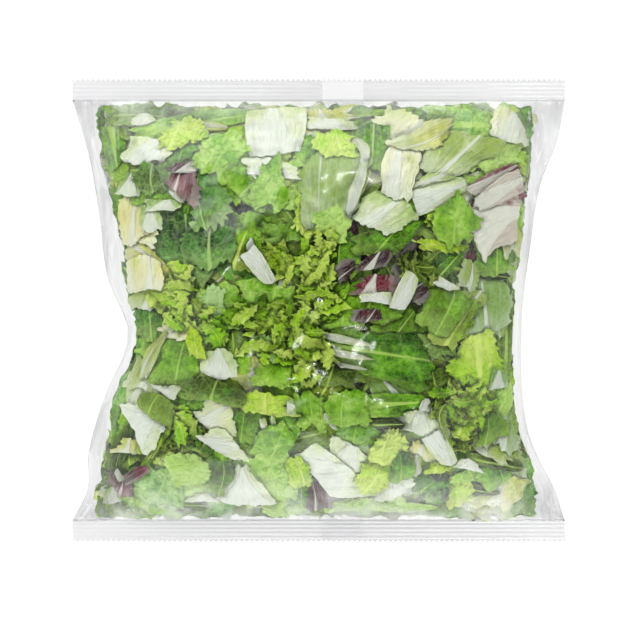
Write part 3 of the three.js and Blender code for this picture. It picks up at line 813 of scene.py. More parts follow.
# %% Leaves right of the middle
RIGHT_OF_THE_MIDDLE = [
    ("plate", (1, -11, 2, -14, 25, -18, 24, -16), 0.7, 0.1, dict(torn=0.01)),
    ("plate", (4, -19, 4, -22, 27, -25, 26, -24), 0.7, 0.1, dict(torn=0.01)),
    ("plate", (8, -26, 10, -28, 24, -30, 23, -29), 0.9, 0.1, dict(torn=0.01)),
    ("glossy", (4, -11, 8, -27, 53, -41, 50, -13), 0.46, 0.05,
     dict(tip_round=0.2, foot_round=0.1, torn=0.06)),
    ("plate", (57, 13, 65, 10, 72, 11, 60, 17), 0.85, 0.0),
    # Painted shade, partly their own dark green: the blade, soft and round leaves here are dark for the deep
    # gap.
    ("blade", (50, -4, 62, -9, 75, 8, 57, 13), 0.38, 0.35, dict(crumple=0.5)),
    ("soft", (58, -13, 71, -17, 76, 3, 67, -2), 0.3, 0.35, dict(crumple=0.4)),
    ("heart", (66, -2, 74, 0, 81, 7, 73, 10), 0.2, 0.3),
    ("round", (52, -14, 60, -22, 69, -19, 64, -13), 0.25, 0.4, dict(cup=0.8)),
    ("soft", (76, -14, 90, -14, 97, -35, 70, -35), 0.7, 0.6, dict(teeth=8, tooth=3.6, rib=0.2)),
    ("blade", (25, -14, 38, -20, 52, -4, 34, -1), 0.4, 0.3),
    ("blade", (36, -22, 52, -20, 54, -8, 40, -6), 0.45, 0.3),
    ("heart", (80, -13, 96, -14, 101, 14, 79, 15), 0.05, 0.05, dict(rib=0.1, crumple=0.4)),
    ("long", (91, -12, 95, -13, 101, 9, 97, 10), 0.35, 0.4),
    ("long", (97, -31, 102, -33, 103, 14, 99, 12), 0.3, 0.3),
    ("blade", (71, -20, 78, -18, 80, -2, 73, -2), 0.35, 0.2),
    ("oak", (66, -22, 74, -34, 79, -30, 74, -18), 0.05, 0.1),
    ("blade", (0, -35, 17, -37, 20, -29, 2, -23), 0.1, 0.15),
    ("plate", (92, -40, 101, -39, 101, -31, 94, -30), 0.35, 0.0),
    ("blade", (88, -27, 98, -29, 100, -14, 90, -14), 0.7, 0.05),
    # Painted shade, partly its own dark green: dark for the deep gap beside the glossy leaf.
    ("blade", (53, -40, 75, -36, 74, -30, 54, -32), 0.1, 0.2),
]
print(len(RIGHT_OF_THE_MIDDLE), "leaves right of the middle")

# %% Leaves at the lower right
LOWER_RIGHT = [
    ("stick", (52, -65, 61, -60, 70, -76, 62, -78), 0.85, 0.0),
    ("round", (47, -60, 56, -60, 57, -53, 48, -52), 0.85, 0.1),
    ("plate", (50, -51, 57, -50, 55, -44, 52, -45), 0.95, 0.0),
    ("plate", (43, -62, 58, -64, 60, -52, 44, -49), 0.75, 0.0, dict(cup=1.0, foot_round=0.5, tip_round=0.5)),
    ("plate", (68, -79, 83, -82, 79, -76, 72, -75), 0.85, 0.0),
    ("frill", (53, -83, 68, -81, 68, -77, 55, -77), 0.5, 1.0, dict(tooth=2.4)),
    ("heart", (46, -73, 58, -77, 60, -72, 50, -66), 0.6, 0.6),
    ("plate", (47, -84, 51, -83, 52, -74, 46, -74), 0.6, 0.2),
    ("curl", (62, -52, 70, -56, 74, -42, 66, -42), 0.5, 0.65),
    ("curl", (66, -64, 74, -66, 76, -52, 66, -54), 0.55, 0.65),
    ("curl", (76, -54, 84, -54, 86, -40, 76, -40), 0.5, 0.65),
    # Painted shade, partly its own dark green: dark for the gap under the curly endive.
    ("frill", (62, -58, 76, -66, 86, -44, 68, -42), 0.2, 0.4),
    ("frill", (65, -70, 74, -72, 78, -56, 64, -56), 0.45, 0.55),
    ("blade", (77, -65, 92, -65, 91, -54, 86, -51), 0.42, 0.25),
    ("blade", (85, -50, 95, -50, 96, -36, 86, -38), 0.85, 0.4),
    ("heart", (91, -66, 104, -67, 102, -46, 90, -48), 0.15, 0.1),
    ("heart", (78, -69, 94, -77, 96, -70, 80, -64), 0.1, 0.4),
    ("long", (76, -72, 76, -76, 104, -82, 104, -77), 0.05, 0.15),
    ("blade", (85, -89, 94, -86, 95, -80, 83, -80), 0.55, 0.1),
    ("blade", (70, -85, 84, -87, 83, -82, 71, -81), 0.8, 0.5),
    ("blade", (44, -90, 58, -97, 62, -88, 50, -83), 0.5, 0.0),
    ("blade", (55, -100, 63, -99, 64, -86, 56, -87), 0.4, 0.0),
    ("soft", (62, -97, 76, -97, 74, -89, 65, -86), 0.85, 0.4),
    ("long", (70, -91, 70, -87, 91, -91, 90, -94), 0.1, 0.1),
    ("heart", (82, -97, 104, -100, 109, -86, 92, -88), 0.6, 0.7),
    ("heart", (60, -103, 92, -103, 88, -96, 62, -97), 0.5, 0.4),
    ("heart", (101, -87, 109, -87, 109, -68, 102, -66), 0.4, 0.2),
    ("long", (100, -58, 104, -58, 102, -37, 99, -38), 0.2, 0.1),
    ("oak", (54, -46, 62, -46, 66, -36, 54, -36), 0.05, 0.2),
    ("blade", (94, -104, 108, -103, 108, -92, 95, -95), 0.8, 0.3),
]
print(len(LOWER_RIGHT), "leaves at the lower right")
REGIONS = (UPPER_LEFT, UPPER_MIDDLE, UPPER_RIGHT, DOWN_THE_MIDDLE, MIDDLE_LEFT,
           LOWER_LEFT, LOWER_MIDDLE, RIGHT_OF_THE_MIDDLE, LOWER_RIGHT)

# %% [markdown]
# Curly endive comes in tufts of narrow toothed strips. A row gives a tuft's middle, its reach across and
# along in mm, how many strips it has, and how light and how yellow they are. Where each strip lies and how it
# turns is drawn from a seeded generator, so the tufts come out the same every time.

# %% Tufts of curly endive
TOP_SPRIGS = [
    (1, 28, 6, 8, 8, 0.65, 0.5),
    (-2, 12, 7, 9, 10, 0.55, 0.5),
    (-5, -4, 6, 10, 11, 0.65, 0.5),
    (-6, -24, 6, 10, 11, 0.6, 0.5),
    # Painted shade, partly their own green: these two tufts are dark for the deep gap beside the glossy leaf.
    (68, -50, 7, 9, 10, 0.25, 0.3),
    (78, -46, 6, 8, 7, 0.35, 0.4),
]
SPRIGS = [
    (5, 8, 6, 8, 5, 0.3, 0.3),
    (-23, 27, 5, 7, 6, 0.5, 0.6),
    (-30, -6, 12, 6, 10, 0.5, 0.4),
    (-52, -8, 8, 6, 5, 0.55, 0.2),
    (-74, 10, 6, 9, 6, 0.65, 0.5),
    (-68, -2, 5, 6, 4, 0.35, 0.4),
    (-24, -16, 10, 6, 7, 0.5, 0.4),
    (70, -64, 6, 6, 6, 0.3, 0.3),
    (60, 48, 5, 6, 5, 0.5, 0.5),
    (52, 20, 6, 6, 5, 0.2, 0.2),
    (-68, -60, 6, 8, 7, 0.35, 0.2),
    (-80, -70, 4, 7, 5, 0.55, 0.4),
]
STRIP_LENGTHS, STRIP_WIDTHS = (9, 20), (3, 6.5)  # shortest and longest, narrowest and widest, in mm
sprig_rng = np.random.default_rng(19)


def half_ways(turn, length, width):
    """Half a leaf's length and half its width as arrows, for a leaf that is turned by an angle."""
    along = np.array((math.cos(turn), math.sin(turn))) * length / 2
    across = np.array((-math.sin(turn), math.cos(turn))) * width / 2
    return along, across


def lay_sprigs(rows):
    """Lays tufts of narrow toothed strips round each middle."""
    for x, y, reach_x, reach_y, count, lightness, warmth in rows:
        for _ in range(count):
            centre = np.array((x, y)) + sprig_rng.uniform(-1, 1, 2) * (reach_x, reach_y)
            turn = sprig_rng.uniform(0, 6.3)
            length = sprig_rng.uniform(*STRIP_LENGTHS)
            width = sprig_rng.uniform(*STRIP_WIDTHS)
            along, across = half_ways(turn, length, width)
            corners = [*(centre - along - across * 0.5), *(centre - along + across * 0.5),
                       *(centre + along + across), *(centre + along - across)]
            front_pile.lay("sprig", corners, lightness + sprig_rng.uniform(-0.15, 0.4), warmth, sprig_rng,
                           drop=sprig_rng.uniform(0, 0.9), lean=sprig_rng.uniform(-0.35, 0.35))


print(sum(row[4] for row in TOP_SPRIGS + SPRIGS), "strips of curly endive to lay")

# %% [markdown]
# Leaves laid first lie on top. So the upper tufts come first, and then the leaves that run over the others.
# The firm kinds follow, then the lower tufts, and last the soft leaves, which run on under all of them. Most
# soft leaves are also turned, grown and torn a little, so that no cut looks like its neighbour's.

# %% Leaves laid one by one
OVERLAPPING = ("blade", "round", "heart", "soft", "oak", "chicory")  # these are changed a little
ON_TOP = ("stick", "plate", "chicory", "red_rib", "glossy", "curl", "broad")
TURNED = 0.3  # how far such a leaf is turned at most, in radians
GROWN = 3.2  # how far its corners move outwards, in mm
STRAYED = 1.3  # how far each corner strays at most, in mm
SHOWN = [row for region in REGIONS for row in region]
shown_rng = np.random.default_rng(11)


def turned_and_grown(corners):
    """A leaf's four corners, turned a little about its middle, moved outwards and strayed."""
    centre = np.array((sum(corners[0::2]), sum(corners[1::2]))) / 4
    turn = shown_rng.uniform(-TURNED, TURNED)
    turned = []
    for x, y in zip(corners[0::2], corners[1::2]):
        out = np.array((x, y)) - centre
        out = out * (1 + GROWN / np.linalg.norm(out)) + shown_rng.uniform(-STRAYED, STRAYED, 2)
        turned.extend(centre + (out[0] * math.cos(turn) - out[1] * math.sin(turn),
                                out[0] * math.sin(turn) + out[1] * math.cos(turn)))
    return turned


def lay_shown(rows):
    """Lays rows of the tables on the front, the uppermost first."""
    for kind, corners, lightness, warmth, *apart in rows:
        changes = dict(*apart)
        if kind in OVERLAPPING:
            corners = turned_and_grown(corners)
            loose = dict(tip_round=shown_rng.uniform(0.2, 0.8), foot_round=shown_rng.uniform(0, 0.5),
                         torn=shown_rng.uniform(0.05, 0.13), lean=shown_rng.uniform(-0.08, 0.08))
            if shown_rng.random() < 0.5:
                loose.update(teeth=int(shown_rng.integers(4, 10)), tooth=shown_rng.uniform(0.8, 2.4))
            changes = {**loose, **changes}
        front_pile.lay(kind, corners, lightness, warmth, shown_rng, **changes)


lay_sprigs(TOP_SPRIGS)
lay_shown(RUNNING_OVER)
lay_shown([row for row in SHOWN if row[0] in ON_TOP])
lay_sprigs(SPRIGS)
lay_shown([row for row in SHOWN if row[0] not in ON_TOP])
print(front_pile.count, "leaves and strips laid by hand")

# %% [markdown]
# ## The rest of the filling
# Behind the leaves that show lie many more. They fill the gaps, the sides and the back, so they are drawn at
# random from a seeded generator, in the mix that the bag holds: mostly green blades, then curly endive, pale
# hearts and a little red chicory. They need fewer faces, because little of each one shows. A last row of
# leaves follows the edge of the filling on both faces, so that front and back meet without a gap.

# %% Leaves laid at random
MIX = {"blade": 0.34, "round": 0.12, "long": 0.06, "frill": 0.14, "soft": 0.08, "heart": 0.12, "plate": 0.1,
       "chicory": 0.04}
REACH = 102  # how far from the middle they lie along the bag, in mm
LENGTHS, WIDTHS = (22, 44), (12, 24)  # shortest and longest, narrowest and widest, in mm
# Painted shade in the gaps: random leaves are darkest round this place and lighter further out.
DARKEST_GAP_SHADE = (12, -8)  # where the leaves are darkest, in mm
LIGHTER = 0.6  # how much lighter they are 100 mm from there
DARKER = 0.25  # how much darker they are there


def fill(pile, count, deepest, lightest, coarse, rng):
    """Lays leaves at random places, each under a ceiling that earlier ones have lowered."""
    shares = np.array(list(MIX.values())) / sum(MIX.values())
    for kind in rng.choice(list(MIX), count, p=shares):
        y = rng.uniform(-1, 1) * REACH
        left, right = [np.interp(y * MM, map_y, table) / MM for table in (fill_left, fill_right)]
        x = rng.uniform(left + 2, right - 2)
        length, width, turn = rng.uniform(*LENGTHS), rng.uniform(*WIDTHS), rng.uniform(0, 2 * math.pi)
        along, across = half_ways(turn, length, width)
        slant = rng.uniform(-0.3, 0.3, 2)
        foot, tip = rng.uniform(0.6, 1.2), rng.uniform(0.4, 1.1)
        corners = []
        for side, end, share in ((-1, -1, foot), (1, -1, foot), (1, 1, tip), (-1, 1, tip)):
            corners.extend((x, y) + side * share * across + (end + slant[(end + 1) // 2] * side) * along)
        # Painted shade in the gaps: darker near the middle, lighter further away.
        away = math.hypot(x - DARKEST_GAP_SHADE[0], y - DARKEST_GAP_SHADE[1]) / 100
        lightness = rng.uniform(0, lightest) + LIGHTER * away - DARKER
        pile.lay(kind, corners, lightness, rng.uniform(0, 0.7), rng, drop=rng.uniform(0, deepest),
                 coarse=coarse, torn=0.1)


fill(front_pile, 200, 4, 0.4, 2.2, np.random.default_rng(23))
fill(back_pile, 240, 3, 0.5, 2.0, np.random.default_rng(37))
print(front_pile.count, "leaves at the front and", back_pile.count, "at the back")

# %% Leaves along the edge
EDGE_STEPS = range(-98, 99, 14)  # where they lie along a side or an end, in mm
OVER_EDGE = 1.5  # how far they reach past it before they are pushed in, in mm


def line_edge(pile, rng):
    """Closes the sides and ends of the filling with leaves that lie along its edge."""
    places = [(side, y, True) for side in (-1, 1) for y in EDGE_STEPS]
    places += [(side, x, False) for side in (-1, 1) for x in EDGE_STEPS]
    for side, along, upright in places:
        half, depth = rng.uniform(9, 15), rng.uniform(10, 18)
        if upright:
            edge = np.interp(along * MM, map_y, leaves_left if side < 0 else leaves_right) / MM
        else:
            edge = side * root_y / MM
        inner, outer = edge - side * depth, edge + side * OVER_EDGE
        slant = rng.uniform(-4, 4, 2)
        corners = []
        for across, end in ((inner, -1), (outer, -1), (outer, 1), (inner, 1)):
            place = along + end * half + slant[(end + 1) // 2] * (across == inner)
            corners.extend((across, place) if upright else (place, across))
        kind = rng.choice(["blade", "blade", "round", "heart"])
        pile.lay(kind, corners, rng.uniform(0.1, 0.7), rng.uniform(0, 0.6), rng, coarse=1.8,
                 uneven=1.5 * MM, torn=0.06)


line_edge(front_pile, np.random.default_rng(41))
line_edge(back_pile, np.random.default_rng(43))
print(front_pile.count, "leaves at the front and", back_pile.count, "at the back with the edge")

# %% [markdown]
# ## From vertices to pieces
# All leaves of one finish join into one mesh. Solidify gives them their wall: thin at the edge and thicker at
# the midrib, as the vertex group says. It grows inwards from the face that lies against the film. The edges
# at a leaf's rim are marked sharp, so that its cut edge is crisp and the shading doesn't run round it.

# %% Leaf pieces
def finished(name, mesh, material):
    """Turns a bmesh into a piece that rides on the bag."""
    for edge in mesh.edges:
        edge.smooth = not edge.is_boundary
    data = bpy.data.meshes.new(name)
    mesh.to_mesh(data)
    mesh.free()
    data.polygons.foreach_set("use_smooth", [True] * len(data.polygons))
    data.materials.append(material)
    made = bpy.data.objects.new(name, data)
    bpy.context.scene.collection.objects.link(made)
    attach(made, "root")
    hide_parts("salad_bag")
    print(name, "has", len(data.polygons), "faces")
    return made


FINISHES = {
    "green_leaves": (green, "green_leaf"),
    "toothed_leaves": (cool, "green_leaf"),
    "frilly_leaves": (frilly, "frilly_leaf"),
    "pale_leaves": (pale, "pale_leaf"),
    "red_leaves": (red, "red_leaf"),
}
for name, (material, slot) in FINISHES.items():
    leaves = finished(name, meshes[name], material)
    leaves.vertex_groups.new(name="wall")
    wall = leaves.modifiers.new("wall", "SOLIDIFY")
    wall.thickness = THICKEST
    wall.offset = -1
    wall.vertex_group = "wall"
    wall.use_even_offset = False

# %% [markdown]
# ## The mass in the middle
# Nobody sees the middle of the bag except as darkness between leaves. A smaller closed cushion stands for it,
# crumpled and painted dark green as leaves in shadow, so that no gap shows daylight through the bag. Towards
# its rim it is painted a lighter green, because more light reaches the leaves there.

# %% The shape of the mass
MASS_DEPTH = 13 * MM  # how deep under the film it lies
MASS_INSET = 11 * MM  # how much smaller than the filling it is seen from above
MASS_LEAST = 0.05 * MM  # half its thickness where it is thinnest
FRONT_CRUMPLE, BACK_CRUMPLE = 2.5 * MM, 2 * MM
RIM_SWELL = 25  # how fast a cushion swells from its rim
crumple = waves(np.random.default_rng(5), 22 * MM, 8)


def cushion(columns, rows, front_of, back_of, left_of, right_of, end):
    """A closed pillow from two grids of quads, joined round their shared edge."""
    mesh = bmesh.new()
    for sign, surface in ((1, front_of), (-1, back_of)):
        made = bmesh.ops.create_grid(mesh, x_segments=columns, y_segments=rows, size=1)
        flat = np.array([vert.co[:2] for vert in made["verts"]])
        y = flat[:, 1] * end
        share = (flat[:, 0] * 0.6 + np.sin(flat[:, 0] * math.pi / 2) * 0.4 + 1) / 2  # closer at the sides
        x = left_of(y) + (right_of(y) - left_of(y)) * share
        rim = np.minimum(1, RIM_SWELL * (1 - np.maximum(np.abs(flat[:, 0]), np.abs(flat[:, 1]))))
        level = (front_of(x, y) + back_of(x, y)) / 2
        z = level + (surface(x, y) - level) * np.sqrt(rim)
        for vert, place in zip(made["verts"], zip(x, y, z)):
            vert.co = place
        if sign < 0:
            facing = {face for vert in made["verts"] for face in vert.link_faces}
            bmesh.ops.reverse_faces(mesh, faces=list(facing))
    bmesh.ops.remove_doubles(mesh, verts=mesh.verts, dist=0.01 * MM)
    return mesh


def mass_front(x, y):
    """The height of the mass at the front."""
    deep = read(front_map, x, y) - MASS_DEPTH + FRONT_CRUMPLE * crumple(x, y)
    return np.maximum(deep, read(middle_map, x, y) + MASS_LEAST)


def mass_back(x, y):
    """The height of the mass at the back."""
    deep = read(back_map, x, y) + MASS_DEPTH - BACK_CRUMPLE * crumple(x + 1, y)
    return np.minimum(deep, read(middle_map, x, y) - MASS_LEAST)


def mass_left(y):
    """Where the mass ends on the left."""
    return np.interp(y, map_y, fill_left) + MASS_INSET


def mass_right(y):
    """Where the mass ends on the right."""
    return np.interp(y, map_y, fill_right) - MASS_INSET


at_middle = np.zeros(1)
mass_height = (mass_front(at_middle, at_middle) - mass_back(at_middle, at_middle))[0]
print("the mass is", round(float(mass_height) / MM), "mm thick in the middle")

# %% The mass of leaves
mass_material, tree, output = new_material("leaves_in_shadow")
place = node(tree, "TexCoord").outputs["Object"]
dapple = noise(tree, place, 160.0, 5.0, 0.6)
# Painted shade in the middle, and painted light in a lighter green towards the rim.
shadow = ramp(tree, dapple, ((0.35, shade(4, 16, 0)), (0.52, shade(14, 36, 0)), (0.68, shade(40, 76, 8))))
lit = ramp(tree, dapple, ((0.35, shade(40, 84, 6)), (0.52, shade(84, 142, 20)), (0.68, shade(150, 196, 90))))
off_centre = node(tree, "VectorMath", {0: place}, operation="LENGTH").outputs["Value"]
colour = mixed(tree, smooth(tree, off_centre, 82 * MM, 96 * MM), shadow, lit)
bump = node(tree, "Bump", {"Height": dapple, "Distance": 2 * MM, "Strength": 0.8})
surface = node(tree, "BsdfPrincipled", {"Base Color": colour, "Normal": bump.outputs[0], "Roughness": 0.6})
tree.links.new(surface.outputs[0], output.inputs["Surface"])
mass = cushion(90, 90, mass_front, mass_back, mass_left, mass_right, root_y - MASS_INSET)
finished("leaf_mass", mass, mass_material)

# %% [markdown]
# ## The film
# The film is 0.04 mm thick, so it is modelled as a single closed skin without a wall. Its form comes from the
# bag's height maps, plus what makes film look like film: low humps where leaves push, short puckers at the
# crimped seals, long soft folds in the empty edges, and a few sharp creases that catch the light.

# %% The film's wrinkles
HUMP_RISE, SMALL_HUMP_RISE = 0.35 * MM, 0.1 * MM
PUCKER_RISE, FOLD_RISE = 0.9 * MM, 1.6 * MM
PUCKER_REACH, FOLD_REACH = 11 * MM, 9 * MM  # how far puckers and folds reach in from the edge
PUCKER_START, FOLD_START = 3 * MM, 2 * MM  # how far in from the edge they stop rising
HUMP_START = 12 * MM  # how far in from the edge the humps are at full height
hump = waves(np.random.default_rng(3), 26 * MM, 7)
small_hump = waves(np.random.default_rng(4), 9 * MM, 7)
pucker = waves(np.random.default_rng(6), 9 * MM, 7)
fold = waves(np.random.default_rng(8), 12 * MM, 5)

# Sharp creases: from, to, height and width, in millimetres.
CREASES = [
    (-20, 62, -12, 60, 0.7, 1.6),
    (-22, 63, -10, 64, 0.5, 1.2),
    (7, -12, 13, -15, 0.7, 1.6),
    (5, -22, 12, -25, 0.6, 1.4),
    (3, -37, 14, -33, 0.7, 1.5),
    (-14, -41, 22, -43, 0.35, 2.0),
    (-14, -45, -6, -44, 0.7, 1.4),
    (12, -45, 20, -42, 0.7, 1.4),
    (-10, -60, -2, -61, 0.7, 1.4),
    (10, 36, 24, 30, 0.45, 1.8),
    (70, 20, 100, 16, 0.4, 2.2),
]


def creased(x, y):
    """Height of the sharp creases: each one fades at its ends."""
    height = np.zeros_like(x)
    for x0, y0, x1, y1, rise, width in CREASES:
        length = math.hypot(x1 - x0, y1 - y0)
        along = ((x / MM - x0) * (x1 - x0) + (y / MM - y0) * (y1 - y0)) / length ** 2
        aside = ((x / MM - x0) * (y1 - y0) - (y / MM - y0) * (x1 - x0)) / length
        fade = np.exp(-((np.abs(along - 0.5) * 2) ** 4))
        height += rise * MM * fade / (1 + (aside / width) ** 2)
    return height


def film_left_of(y):
    """Where the film ends on the left."""
    return np.interp(y, map_y, film_left)


def film_right_of(y):
    """Where the film ends on the right."""
    return np.interp(y, map_y, film_right)


def wrinkles(x, y, shift=0.0):
    """What the film adds to the bag's form: shift moves the pattern, so that front and back differ."""
    from_seal = root_y - np.abs(y)
    from_side = np.minimum(x - film_left_of(y), film_right_of(y) - x)
    at_seal = np.exp(-from_seal / PUCKER_REACH) * np.minimum(1, from_seal / PUCKER_START)
    at_side = np.exp(-from_side / FOLD_REACH) * np.minimum(1, from_side / FOLD_START)
    inside = np.minimum(1, from_side / HUMP_START) * np.minimum(1, from_seal / HUMP_START)
    humps = HUMP_RISE * hump(x + shift, y) + SMALL_HUMP_RISE * small_hump(x + shift, y)
    height = inside * (humps + creased(x, y))
    height = height + at_seal * PUCKER_RISE * pucker(x * 1.4 + shift, y * 0.15)
    return height + at_side * FOLD_RISE * fold(from_side * 2.2, y * 0.35 + shift)


middle_y = np.linspace(-root_y, root_y, 200)
rises = wrinkles(middle_y * 0, middle_y)
print("wrinkles down the middle in mm:", round(rises.min() / MM, 2), "to", round(rises.max() / MM, 2))

# %% [markdown]
# ## The film's finish
# Clear film lets most light through and mirrors a little of it, more at a glancing angle. So the material is
# mostly Transparent, with a Glossy layer whose share grows with the fifth power of Layer Weight's Facing. A
# trace of white haze grows towards both ends, partly the film's fog over the leaves and partly painted sheen
# where the film slopes. In the empty sides the haze turns grey in streaks: painted shade of soft folds. The
# crimped seals are hazier, because two layers are welded there, but clearer where the top one crosses the
# back seam.

# %% The film's haze
FIN_START, FIN_WIDTH = 1.5 * MM, 21.5 * MM  # where the back seam lies, seen through the bag
FIN_SOFT = 0.5 * MM  # how soft its edges look in the haze
fin_end = FIN_START + FIN_WIDTH


def film_haze(tree, place, haze, end_fog_and_sheen, side_fold_shade, lost_at_fin):
    """Share of haze, painted fold shade, and end fog with painted sheen; and how far a place is in the empty
    sides.
    """
    sides = node(tree, "SeparateXYZ", {0: place}).outputs
    at_side = smooth(tree, maths(tree, "ABSOLUTE", sides[0]), 98 * MM, 108 * MM)
    stretched = node(tree, "Mapping", {"Vector": place, "Scale": (1.0, 0.22, 1.0)}).outputs[0]
    # Painted shade: grey streaks across the empty sides, for the shade of soft folds.
    fold_shade = smooth(tree, noise(tree, stretched, 130.0, 2.0, 0.8), 0.45, 0.6, side_fold_shade * 0.2, side_fold_shade)
    fold_shade = maths(tree, "MULTIPLY", at_side, fold_shade)
    patchy = smooth(tree, noise(tree, place, 70.0, 4.0, 0.4), 0.4, 0.65, 0.35, 1.0)
    # Partly the film's fog and partly painted sheen: white haze towards both ends, a little weaker at the
    # head.
    towards_foot = maths(tree, "MULTIPLY", sides[1], -1.0)
    towards_head = maths(tree, "MULTIPLY", sides[1], 0.92)
    from_middle = maths(tree, "MAXIMUM", towards_foot, towards_head)
    at_end = smooth(tree, from_middle, 78 * MM, 108 * MM, 0.0, end_fog_and_sheen)
    past_start = smooth(tree, sides[0], FIN_START, FIN_START + FIN_SOFT, 0.0, lost_at_fin)
    before_end = smooth(tree, sides[0], fin_end - FIN_SOFT, fin_end, 1.0, 0.0)
    over_fin = maths(tree, "MULTIPLY", past_start, before_end)
    over_fin = maths(tree, "MULTIPLY", over_fin, smooth(tree, sides[1], 0.0, 1 * MM))
    evenly = maths(tree, "MULTIPLY", maths(tree, "SUBTRACT", 1.0, over_fin), haze)
    return maths(tree, "MULTIPLY_ADD", at_end, patchy, maths(tree, "ADD", fold_shade, evenly)), at_side


print("the back seam lies from", round(FIN_START / MM, 1), "to", round(fin_end / MM, 1), "mm")

# %% Three film finishes
def film_material(name, haze, haze_shade, mirror, roughness, end_fog_and_sheen=0.0, side_fold_shade=0.0, lost_at_fin=0.0,
                  clearness=0.94):
    """Clear film: a share of haze, and the share that it mirrors when seen face on."""
    material, tree, output = new_material(name)
    place = node(tree, "TexCoord").outputs["Object"]
    hazy, at_side = film_haze(tree, place, haze, end_fog_and_sheen, side_fold_shade, lost_at_fin)
    clear = node(tree, "BsdfTransparent", {"Color": (clearness, clearness, clearness + 0.004, 1)})
    # At the sides the haze turns grey: painted shade of the folds.
    fold_shaded = maths(tree, "MULTIPLY", at_side, min(1.0, 20 * side_fold_shade))
    haze_and_fold_shade = mixed(tree, fold_shaded, haze_shade, (0.42, 0.42, 0.43, 1))
    milk = node(tree, "BsdfPrincipled", {"Base Color": haze_and_fold_shade, "Roughness": 0.35})
    body = node(tree, "MixShader", {0: hazy, 1: clear.outputs[0], 2: milk.outputs[0]})

    uneven = noise(tree, place, 95.0, 1.0)
    bump = node(tree, "Bump", {"Height": uneven, "Distance": 0.25 * MM, "Strength": 0.12}).outputs[0]
    gloss = node(tree, "BsdfGlossy", {"Color": (1, 1, 1, 1), "Roughness": roughness, "Normal": bump})
    slant = node(tree, "LayerWeight", {"Blend": 0.5, "Normal": bump}).outputs["Facing"]
    mirrored = maths(tree, "MULTIPLY_ADD", maths(tree, "POWER", slant, 5.0), 0.9 - mirror, mirror)
    both = node(tree, "MixShader", {0: mirrored, 1: body.outputs[0], 2: gloss.outputs[0]})
    tree.links.new(both.outputs[0], output.inputs["Surface"])
    return material


clear_film = film_material("clear_film", 0.002, (0.92, 0.92, 0.92, 1), 0.028, 0.11, 0.38, 0.2)
crimped_film = film_material("crimped_film", 0.36, (0.68, 0.68, 0.69, 1), 0.05, 0.2, lost_at_fin=0.75,
                             clearness=0.97)
fin_film = film_material("fin_film", 0.05, (0.92, 0.92, 0.93, 1), 0.05, 0.15, clearness=0.96)
print("film finishes:", clear_film.name, crimped_film.name, fin_film.name)

# %% [markdown]
# The skin is a cushion too, with the film's own edges and heights. It lies a quarter of a millimetre outside
# the bag's form at the front, and at the back it stays a little above the table.

# %% The film skin
FRONT_OUT, BACK_OUT = 0.25 * MM, 0.2 * MM  # how far outside the bag's form the film lies
OVER_TABLE = 0.3 * MM  # how low the film may lie over the table
FREE_FROM = 6 * MM  # where the back film is free enough of the table to be fully wrinkled
BACK_SHARE = 0.7  # how deep its wrinkles are, compared with the front


def film_front(x, y):
    """The height of the film at the front."""
    return read(front_map, x, y) + FRONT_OUT + wrinkles(x, y)


def film_back(x, y):
    """The height of the film at the back, which is smooth where it rests on the table."""
    low = read(back_map, x, y)
    free = np.clip(low / FREE_FROM, 0, 1)
    return np.maximum(low - BACK_OUT, OVER_TABLE) - free * np.abs(wrinkles(x, y, 1.0)) * BACK_SHARE


skin = cushion(170, 150, film_front, film_back, film_left_of, film_right_of, root_y)
finished("film_skin", skin, clear_film)

# %% [markdown]
# ## Crimped seals and back seam
# Heated jaws weld the film's ends and press fine lines along them, and a zigzag knife parts one bag from the
# next. The grid's columns are half a tooth wide, so moving every other vertex of its last row cuts the teeth.

# %% End seals
TOOTH_PITCH = 2.6 * MM
TOOTH_DEPTH = 1 * MM
LINE_PITCH = 2.1 * MM
LINE_RISE = 0.12 * MM
SEAL_LAP = 1 * MM  # how far a seal reaches in over the skin
SEAL_SAG = 0.5 * MM
SEAL_WALL = 0.12 * MM
teeth = round((cad_high.x - cad_low.x) / TOOTH_PITCH)
seals = bmesh.new()
for end in (-1, 1):
    made = bmesh.ops.create_grid(seals, x_segments=2 * teeth, y_segments=40, size=1)
    flat = np.array([vert.co[:2] for vert in made["verts"]])
    outward = (flat[:, 1] * end + 1) / 2
    zigzag = np.rint((flat[:, 0] + 1) * teeth) % 2
    depth = SEAL_DEPTH + SEAL_LAP - TOOTH_DEPTH * zigzag * outward ** 12
    y = end * (root_y - SEAL_LAP + outward * depth)
    past_root, before_cut = np.abs(y) - root_y, cad_high.y - 1 * MM - np.abs(y)
    lines = np.cos(2 * math.pi * past_root / LINE_PITCH)
    pressed = np.clip(past_root / (1 * MM), 0, 1) * np.clip(before_cut / (1 * MM), 0, 1)
    sag = SEAL_SAG * np.sin(flat[:, 0] * 7 + end) * outward
    z = seal_level + LINE_RISE * lines * pressed + sag
    for vert, place in zip(made["verts"], zip(flat[:, 0] * cad_high.x, y, z)):
        vert.co = place
end_seals = finished("end_seals", seals, crimped_film)
welded = end_seals.modifiers.new("welded", "SOLIDIFY")
welded.thickness = SEAL_WALL
welded.offset = 0

# %% [markdown]
# The fin seam is a strip of doubled film. It lies against the back from end to end and runs on into both
# seals, so it follows the skin's back and then the level of the seals.

